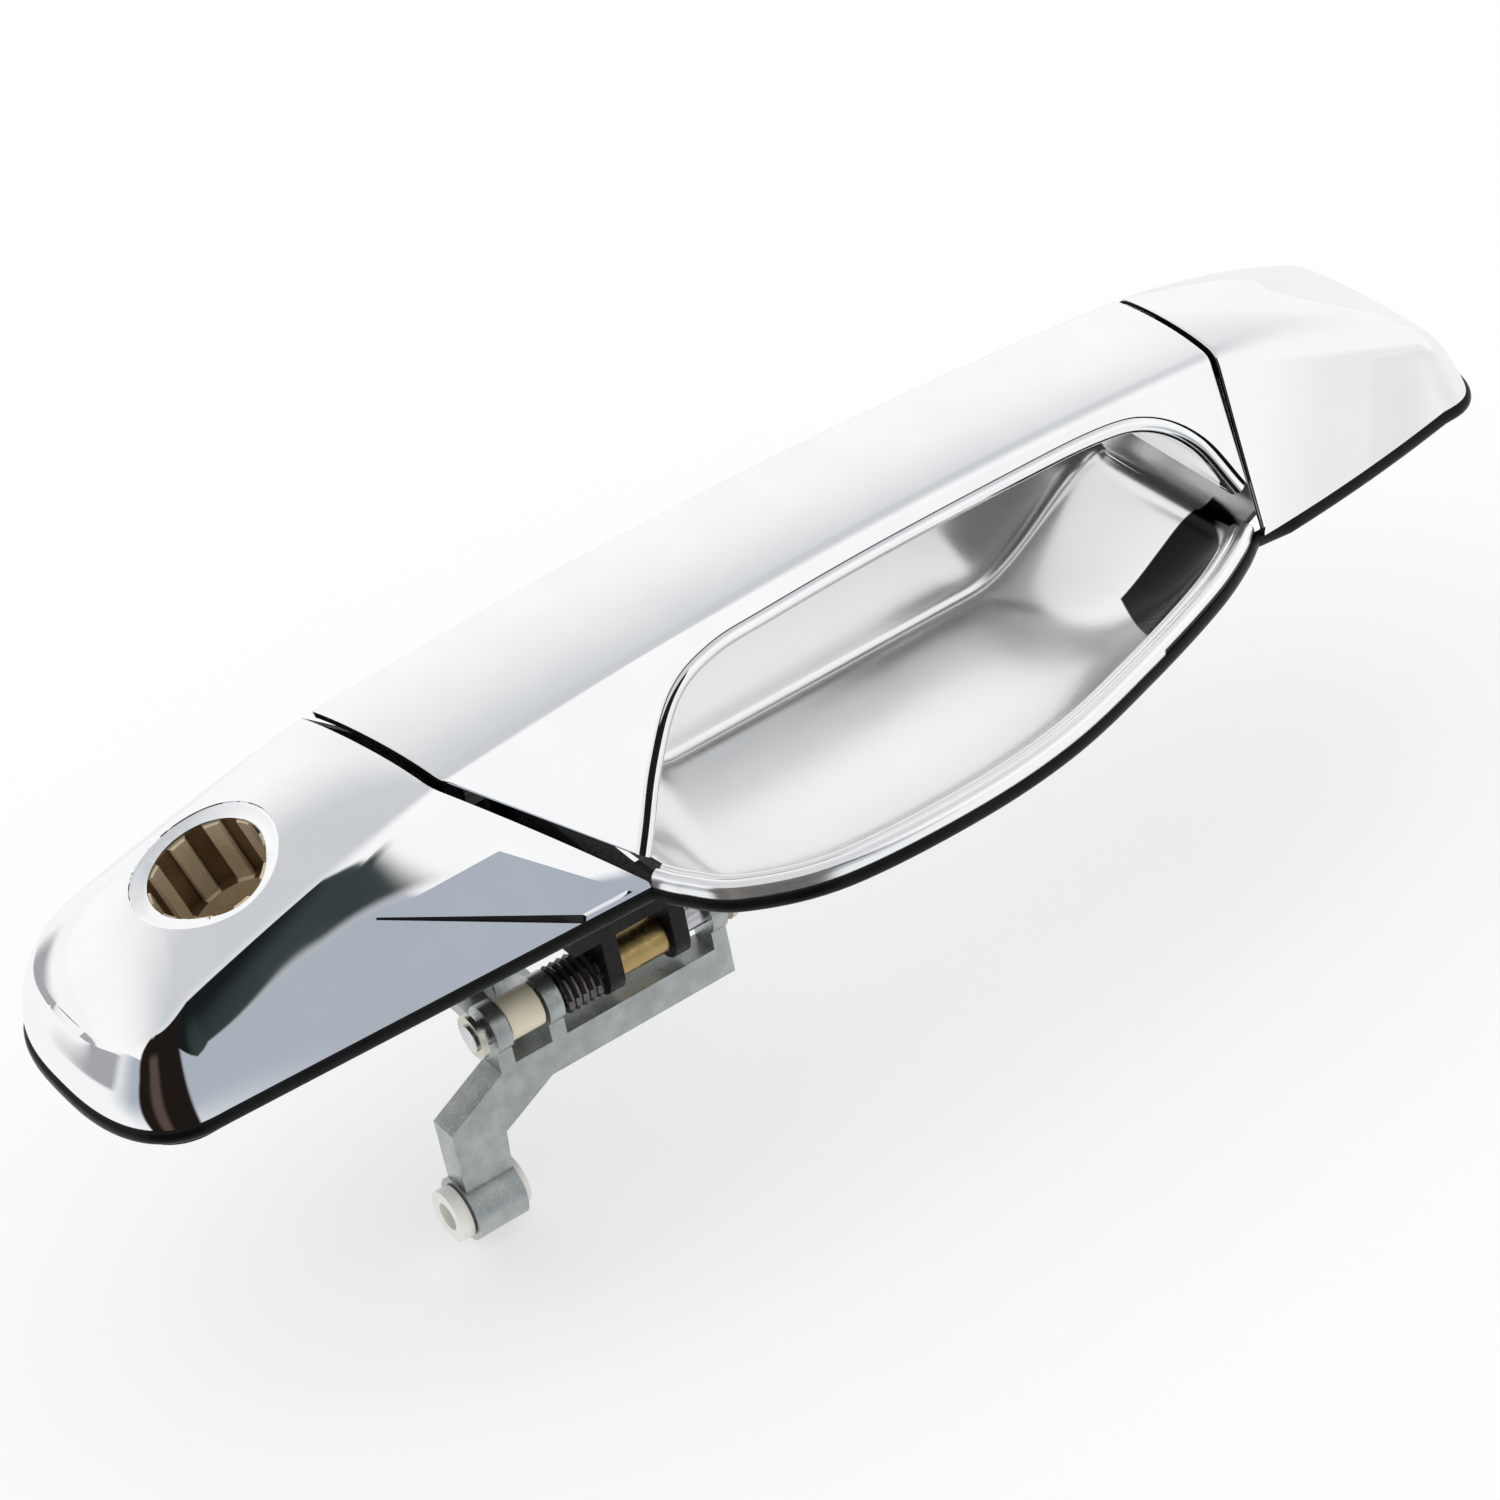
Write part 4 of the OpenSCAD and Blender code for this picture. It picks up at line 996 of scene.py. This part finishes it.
def node_material(name, colour, metallic, roughness):
    material = bpy.data.materials.new(name)
    material.use_nodes = True
    shader = material.node_tree.nodes["Principled BSDF"]
    shader.inputs["Base Color"].default_value = (*colour, 1)
    shader.inputs["Metallic"].default_value = metallic
    shader.inputs["Roughness"].default_value = roughness
    return material, shader


def add_noise(material, scale, detail):
    tree = material.node_tree
    place = tree.nodes.new("ShaderNodeTexCoord")
    noise = tree.nodes.new("ShaderNodeTexNoise")
    noise.inputs["Scale"].default_value = scale
    noise.inputs["Detail"].default_value = detail
    tree.links.new(place.outputs["Object"], noise.inputs["Vector"])
    return noise


def spread(material, factor, lowest, highest):
    """Maps a noise's output between two values."""
    tree = material.node_tree
    fit = tree.nodes.new("ShaderNodeMapRange")
    fit.inputs["From Min"].default_value = NOISE_LOW
    fit.inputs["From Max"].default_value = NOISE_HIGH
    fit.inputs["To Min"].default_value = lowest
    fit.inputs["To Max"].default_value = highest
    tree.links.new(factor, fit.inputs["Value"])
    return fit.outputs["Result"]


def tint(material, factor, dark, light):
    """Maps a noise's output between two colours."""
    tree = material.node_tree
    shades = tree.nodes.new("ShaderNodeValToRGB")
    ends = zip(shades.color_ramp.elements, (NOISE_LOW, NOISE_HIGH), (dark, light))
    for element, position, colour in ends:
        element.position = position
        element.color = (*colour, 1)
    tree.links.new(factor, shades.inputs["Fac"])
    return shades.outputs["Color"]


def roughen(material, shader, height, strength):
    """Gives a finish fine bumps that follow a noise's output."""
    tree = material.node_tree
    bump = tree.nodes.new("ShaderNodeBump")
    bump.inputs["Strength"].default_value = strength
    bump.inputs["Distance"].default_value = BUMP_DEEP
    tree.links.new(height, bump.inputs["Height"])
    tree.links.new(bump.outputs["Normal"], shader.inputs["Normal"])


def finish(name, dark, light, metallic, roughness, grain, bump, specular=0.5):
    """A finish with colour that varies, roughness that varies and a fine surface."""
    material, shader = node_material(name, light, metallic, roughness[0])
    shader.inputs["Specular IOR Level"].default_value = specular
    tree = material.node_tree
    broad = add_noise(material, grain / 6, 4)
    fine = add_noise(material, grain, 6)
    tree.links.new(tint(material, broad.outputs["Fac"], dark, light), shader.inputs["Base Color"])
    tree.links.new(
        spread(material, fine.outputs["Fac"], *roughness), shader.inputs["Roughness"]
    )
    roughen(material, shader, fine.outputs["Fac"], bump)
    return material


def chrome_finish():
    """Plated metal: bright, almost a mirror, with a trace of haze."""
    material, shader = node_material("chrome_plate", *CHROME)
    tree = material.node_tree
    haze = add_noise(material, 60, 3)
    tree.links.new(
        tint(material, haze.outputs["Fac"], *CHROME_COLOURS), shader.inputs["Base Color"]
    )
    tree.links.new(
        spread(material, haze.outputs["Fac"], *CHROME_ROUGHNESS), shader.inputs["Roughness"]
    )
    return material


def cup_finish():
    """Plating that is duller than the caps' inside the cup, with a near-black painted reflection at
    the hinge end.
    """
    material, shader = node_material("cup_plate", *CUP_PLATE)
    tree = material.node_tree
    haze = add_noise(material, 45, 4)
    plate = tint(material, haze.outputs["Fac"], *CUP_COLOURS)
    place = tree.nodes.new("ShaderNodeTexCoord")
    split = tree.nodes.new("ShaderNodeSeparateXYZ")
    tree.links.new(place.outputs["Object"], split.inputs[0])
    make = Shading(tree)
    x, y, z = split.outputs
    slanted = make.math("MULTIPLY_ADD", y, -PAINTED_REFLECTION_SLANT, x)
    toward_end = make.step(slanted, PAINTED_REFLECTION_X - PAINTED_REFLECTION_SOFT, PAINTED_REFLECTION_X + PAINTED_REFLECTION_SOFT)
    toward_rim = make.step(y, PAINTED_REFLECTION_Y + PAINTED_REFLECTION_SOFT, PAINTED_REFLECTION_Y - PAINTED_REFLECTION_SOFT)
    under_rim = make.step(z, PAINTED_REFLECTION_Z + PAINTED_REFLECTION_SOFT, PAINTED_REFLECTION_Z - PAINTED_REFLECTION_SOFT)
    painted_reflection = make.math("MULTIPLY", make.math("MULTIPLY", toward_end, toward_rim), under_rim)
    # The near-black painted reflection is mixed into the plating's colour here
    colour = make.mix(painted_reflection, plate, PAINTED_REFLECTION_COLOUR)
    tree.links.new(colour, shader.inputs["Base Color"])
    dull = spread(material, haze.outputs["Fac"], *CUP_ROUGHNESS)
    tree.links.new(dull, shader.inputs["Roughness"])
    return material


# Finishes: dark and light colour, metallic, roughness from and to, grains per metre, bump and,
# where it isn't 0.5, specular
FINISHES = {
    "black_rubber": ((0.002, 0.002, 0.002), (0.007, 0.006, 0.006), 0, (0.25, 0.4), 900, 0.1, 0.15),
    # Black plastic of the frame; also painted shade on the skins' rims and in the facet's slot
    "black_plastic_and_gap_shade": ((0.004, 0.004, 0.004), (0.014, 0.014, 0.014), 0, (0.4, 0.6), 1400, 0.2, 0.2),
    "cast_zinc": ((0.33, 0.36, 0.355), (0.46, 0.49, 0.48), 0.9, (0.26, 0.4), 1700, 0.25),
    "nylon": ((0.76, 0.75, 0.7), (0.87, 0.86, 0.82), 0, (0.35, 0.5), 600, 0.1),
    "cream_nylon": ((0.66, 0.6, 0.45), (0.78, 0.73, 0.59), 0, (0.35, 0.5), 600, 0.1),
    "turned_brass": ((0.4, 0.28, 0.11), (0.6, 0.45, 0.2), 1, (0.24, 0.4), 1100, 0.15),
    "spring_steel": ((0.09, 0.085, 0.08), (0.2, 0.19, 0.18), 1, (0.3, 0.45), 1500, 0.15),
    "ground_steel": ((0.5, 0.51, 0.52), (0.68, 0.69, 0.7), 1, (0.2, 0.34), 1500, 0.1),
    "zinc_plate": ((0.5, 0.48, 0.4), (0.7, 0.68, 0.6), 1, (0.25, 0.42), 900, 0.15),
    "sleeve_metal": ((0.5, 0.4, 0.25), (0.82, 0.7, 0.52), 0.45, (0.25, 0.4), 500, 0.15),
    # The sleeve's metal darkened: painted shade for the grooves of its bore
    "sleeve_groove_shade": ((0.1, 0.06, 0.025), (0.24, 0.16, 0.08), 0.6, (0.25, 0.4), 500, 0.15),
}
# Which finish each CAD node wears
WEARS = {
    "strap_bumpers": "black_rubber",
    "chassis_frame": "black_plastic_and_gap_shade",
    "hinge_bracket": "black_plastic_and_gap_shade",
    "strap_core": "black_plastic_and_gap_shade",
    "bell_crank": "cast_zinc",
    "pull_leg": "cast_zinc",
    "rod_clip": "nylon",
    "pivot_bushes": "nylon",
    "leg_guide": "nylon",
    "crank_bush_white": "cream_nylon",
    "crank_bush_brass": "turned_brass",
    "return_spring": "spring_steel",
    "crank_pin": "ground_steel",
    "strap_pivot_pin": "ground_steel",
    "carrier_rail": "zinc_plate",
    "pin_retainers": "zinc_plate",
    "mounting_studs": "zinc_plate",
    "cap_screws": "zinc_plate",
    "housing_screws": "zinc_plate",
    "strap_screws": "zinc_plate",
}


def dress(nodes, finishes):
    for node, wears in WEARS.items():
        nodes[node].data.materials.clear()
        nodes[node].data.materials.append(finishes[wears])


# ---- Pieces ----
def from_axis(point):
    """Direction away from a line along the handle, a little above its base."""
    return vec(0, point.y, point.z - AXIS_Z * MM)


def sideways(point):
    return vec(0, point.y, 0)


def upright(point):
    return vec(0, 0, 1)


def rows_along(row_at, steps):
    return [row_at(k / steps) for k in range(steps + 1)]


def build_key_cap(chrome, finishes):
    """The key cap, with the lock's opening and the facet cut into it, and the lock's sleeve."""
    # Black on the rims of the skins and in the facet's slot is painted shade in the gaps
    gap_shade = finishes["black_plastic_and_gap_shade"]
    rows = cap_rows(key_side, key_nose)
    key = skin_from("key_cap_skin", rows, "base", [chrome, gap_shade], from_axis)
    thicken(key, SKIN_WALL)
    tree = BVHTree.FromObject(key, bpy.context.evaluated_depsgraph_get())
    heights = heights_round_lock(tree, LOCK_RIM_R)
    uncut = smooth_copy(key)
    cut(key, lock_funnel(heights, chrome))
    for tool in facet_tools(tree, chrome, gap_shade):
        cut(key, tool)
    round_edges(key)
    soften(key)
    shade_like(key, uncut)
    lock_sleeve(heights, finishes["sleeve_metal"], finishes["sleeve_groove_shade"])
    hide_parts("key_cap")


def build_fixed_cap(chrome, gap_shade):
    rows = cap_rows(fixed_side, fixed_tip)
    cap = skin_from("fixed_cap_skin", rows, "base", [chrome, gap_shade], from_axis)
    thicken(cap, SKIN_WALL)
    round_edges(cap)
    soften(cap)
    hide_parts("bezel_housing")


def build_strap(chrome, gap_shade):
    """The strap's cover, and the liner round the edge of its arch."""
    rows = rows_along(strap_row, STRAP_ROWS)
    cover = skin_from("strap_skin", rows, "strap", [chrome, gap_shade], from_axis)
    thicken(cover, SKIN_WALL)
    round_edges(cover)
    soften(cover)
    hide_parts("strap_cover")

    rows = rows_along(liner_loop, STRAP_ROWS)
    liner = skin_from(
        "strap_liner_skin", rows, "strap", [chrome], sideways, closed=True
    )
    soften(liner, TUBE_ANGLE)
    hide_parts("strap_liner")


def build_cup():
    """The cup the fingers reach into, and the ledge at its hinge end."""
    plate = cup_finish()
    for name, row_at, steps, wall in (
        ("cup_skin", cup_row, CUP_ROWS, SHELL_WALL),
        ("cup_ledge_skin", ledge_row, LEDGE_ROWS, LEDGE_WALL),
    ):
        rows = rows_along(row_at, steps)
        skin = skin_from(name, rows, "base", [plate], upright)
        thicken(skin, wall)
        soften(skin)
        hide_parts("bezel_housing")


def build_gasket(rubber):
    """The rubber bead under the chrome: its loops, crossed over into one closed tube."""
    rings = list(zip(*gasket_loops()))
    wide = len(rings[0])
    total = len(rings) * wide
    rolled = grid_faces(len(rings) + 1, wide, closed=True)
    faces = [tuple(corner % total for corner in face) for face in rolled]
    verts = [point for ring in rings for point in ring]
    gasket = piece_from("gasket_skin", verts, faces, "base", rubber)
    turn_outward(gasket.data)
    soften(gasket, TUBE_ANGLE)
    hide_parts("door_gasket")


def build(frame):
    chrome = chrome_finish()
    finishes = {name: finish(name, *values) for name, values in FINISHES.items()}
    dress(frame["nodes"], finishes)
    build_key_cap(chrome, finishes)
    build_fixed_cap(chrome, finishes["black_plastic_and_gap_shade"])
    build_strap(chrome, finishes["black_plastic_and_gap_shade"])
    build_cup()
    build_gasket(finishes["black_rubber"])


# ---- Stage ----
def build_camera():
    """A long lens from the upper front left, tilted so the handle rises to the right."""
    across = vec(*CAMERA_ACROSS)
    upward = vec(*CAMERA_UPWARD)
    back = across.cross(upward).normalized()
    upward = back.cross(across).normalized()
    data = bpy.data.cameras.new("camera")
    data.sensor_width = 36
    data.lens = CAMERA_LENS
    data.clip_start = 0.01
    camera = bpy.data.objects.new("camera", data)
    bpy.context.scene.collection.objects.link(camera)
    turn = Matrix((across.normalized(), upward, back)).transposed()
    camera.matrix_world = Matrix.Translation(vec(*CAMERA_PLACE) * MM) @ turn.to_4x4()
    bpy.context.scene.camera = camera


def build_floor(low):
    """Pale paper under the handle. It glows a little, so the handle's shadow stays soft."""
    corners = [(-1, -1), (1, -1), (1, 1), (-1, 1)]
    mesh = bpy.data.meshes.new("floor")
    mesh.from_pydata(
        [(x * FLOOR_SIZE, y * FLOOR_SIZE, low) for x, y in corners], [], [(0, 1, 2, 3)]
    )
    floor = bpy.data.objects.new("floor", mesh)
    bpy.context.scene.collection.objects.link(floor)
    material, shader = node_material("floor_paper", (0.55, 0.55, 0.55), 0.0, 0.9)
    shader.inputs["Emission Color"].default_value = WHITE
    shader.inputs["Emission Strength"].default_value = FLOOR_GLOW
    mesh.materials.append(material)
    floor.visible_glossy = False


def build_world():
    """A white studio. What polished metal mirrors has a grey band low down and dark screens."""
    world = bpy.data.worlds.new("studio")
    bpy.context.scene.world = world
    world.use_nodes = True
    tree = world.node_tree
    make = Shading(tree)
    place = tree.nodes.new("ShaderNodeTexCoord")
    split = tree.nodes.new("ShaderNodeSeparateXYZ")
    tree.links.new(place.outputs["Generated"], split.inputs[0])
    x, y, z = split.outputs
    turn = make.math("ARCTAN2", x, make.math("MULTIPLY", y, -1.0))
    turn = make.math("MULTIPLY", turn, 180 / math.pi)
    rise = make.math("MULTIPLY", make.math("ARCSINE", z), 180 / math.pi)
    before_edge = make.math("SUBTRACT", 1.0, make.step(turn, *SLATE_EDGE))
    foot = make.line(turn, *SLATE_FOOT)
    top = make.line(turn, *SLATE_TOP)

    colour = make.mix(make.step(rise, *OVERHEAD_RISE), WHITE, OVERHEAD)
    low = LOW_GREY
    for across, stretch, shade in LOW_FADES:
        low = make.mix(make.step(rise if across == "rise" else turn, *stretch), low, shade)
    level = make.math("MULTIPLY", make.math("SUBTRACT", foot, LOW_RISE), before_edge)
    level = make.math("SUBTRACT", rise, make.math("ADD", level, LOW_RISE))
    colour = make.mix(make.step(level, *LOW_SOFT), colour, low)

    slate = make.math("MULTIPLY", before_edge, make.step(turn, *SLATE_START))
    above = make.step(make.math("SUBTRACT", rise, foot), *SLATE_FOOT_SOFT)
    below = make.step(make.math("SUBTRACT", top, rise), *SLATE_TOP_SOFT)
    slate = make.math("MULTIPLY", slate, make.math("MULTIPLY", above, below))
    slate_colour = make.mix(make.step(turn, *SLATE_DARKENS), SLATE, SLATE_DEEP)
    colour = make.mix(slate, colour, slate_colour)

    for turns, rises, soft, strength, shade in SCREENS:
        across = make.band(turn, *turns, soft[0])
        over = make.band(rise, *rises, soft[1])
        amount = make.math("MULTIPLY", make.math("MULTIPLY", across, over), strength)
        colour = make.mix(amount, colour, shade)
    rays = tree.nodes.new("ShaderNodeLightPath")
    colour = make.mix(rays.outputs["Is Glossy Ray"], WHITE, colour)
    background = tree.nodes["Background"]
    tree.links.new(colour, background.inputs["Color"])
    background.inputs["Strength"].default_value = 1.0


def main():
    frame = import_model()
    cad_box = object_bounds()
    build_camera()
    build(frame)
    build_world()
    build_floor(cad_box[0][2] - FLOOR_GAP)
    bpy.context.scene.view_settings.view_transform = "Standard"


main()
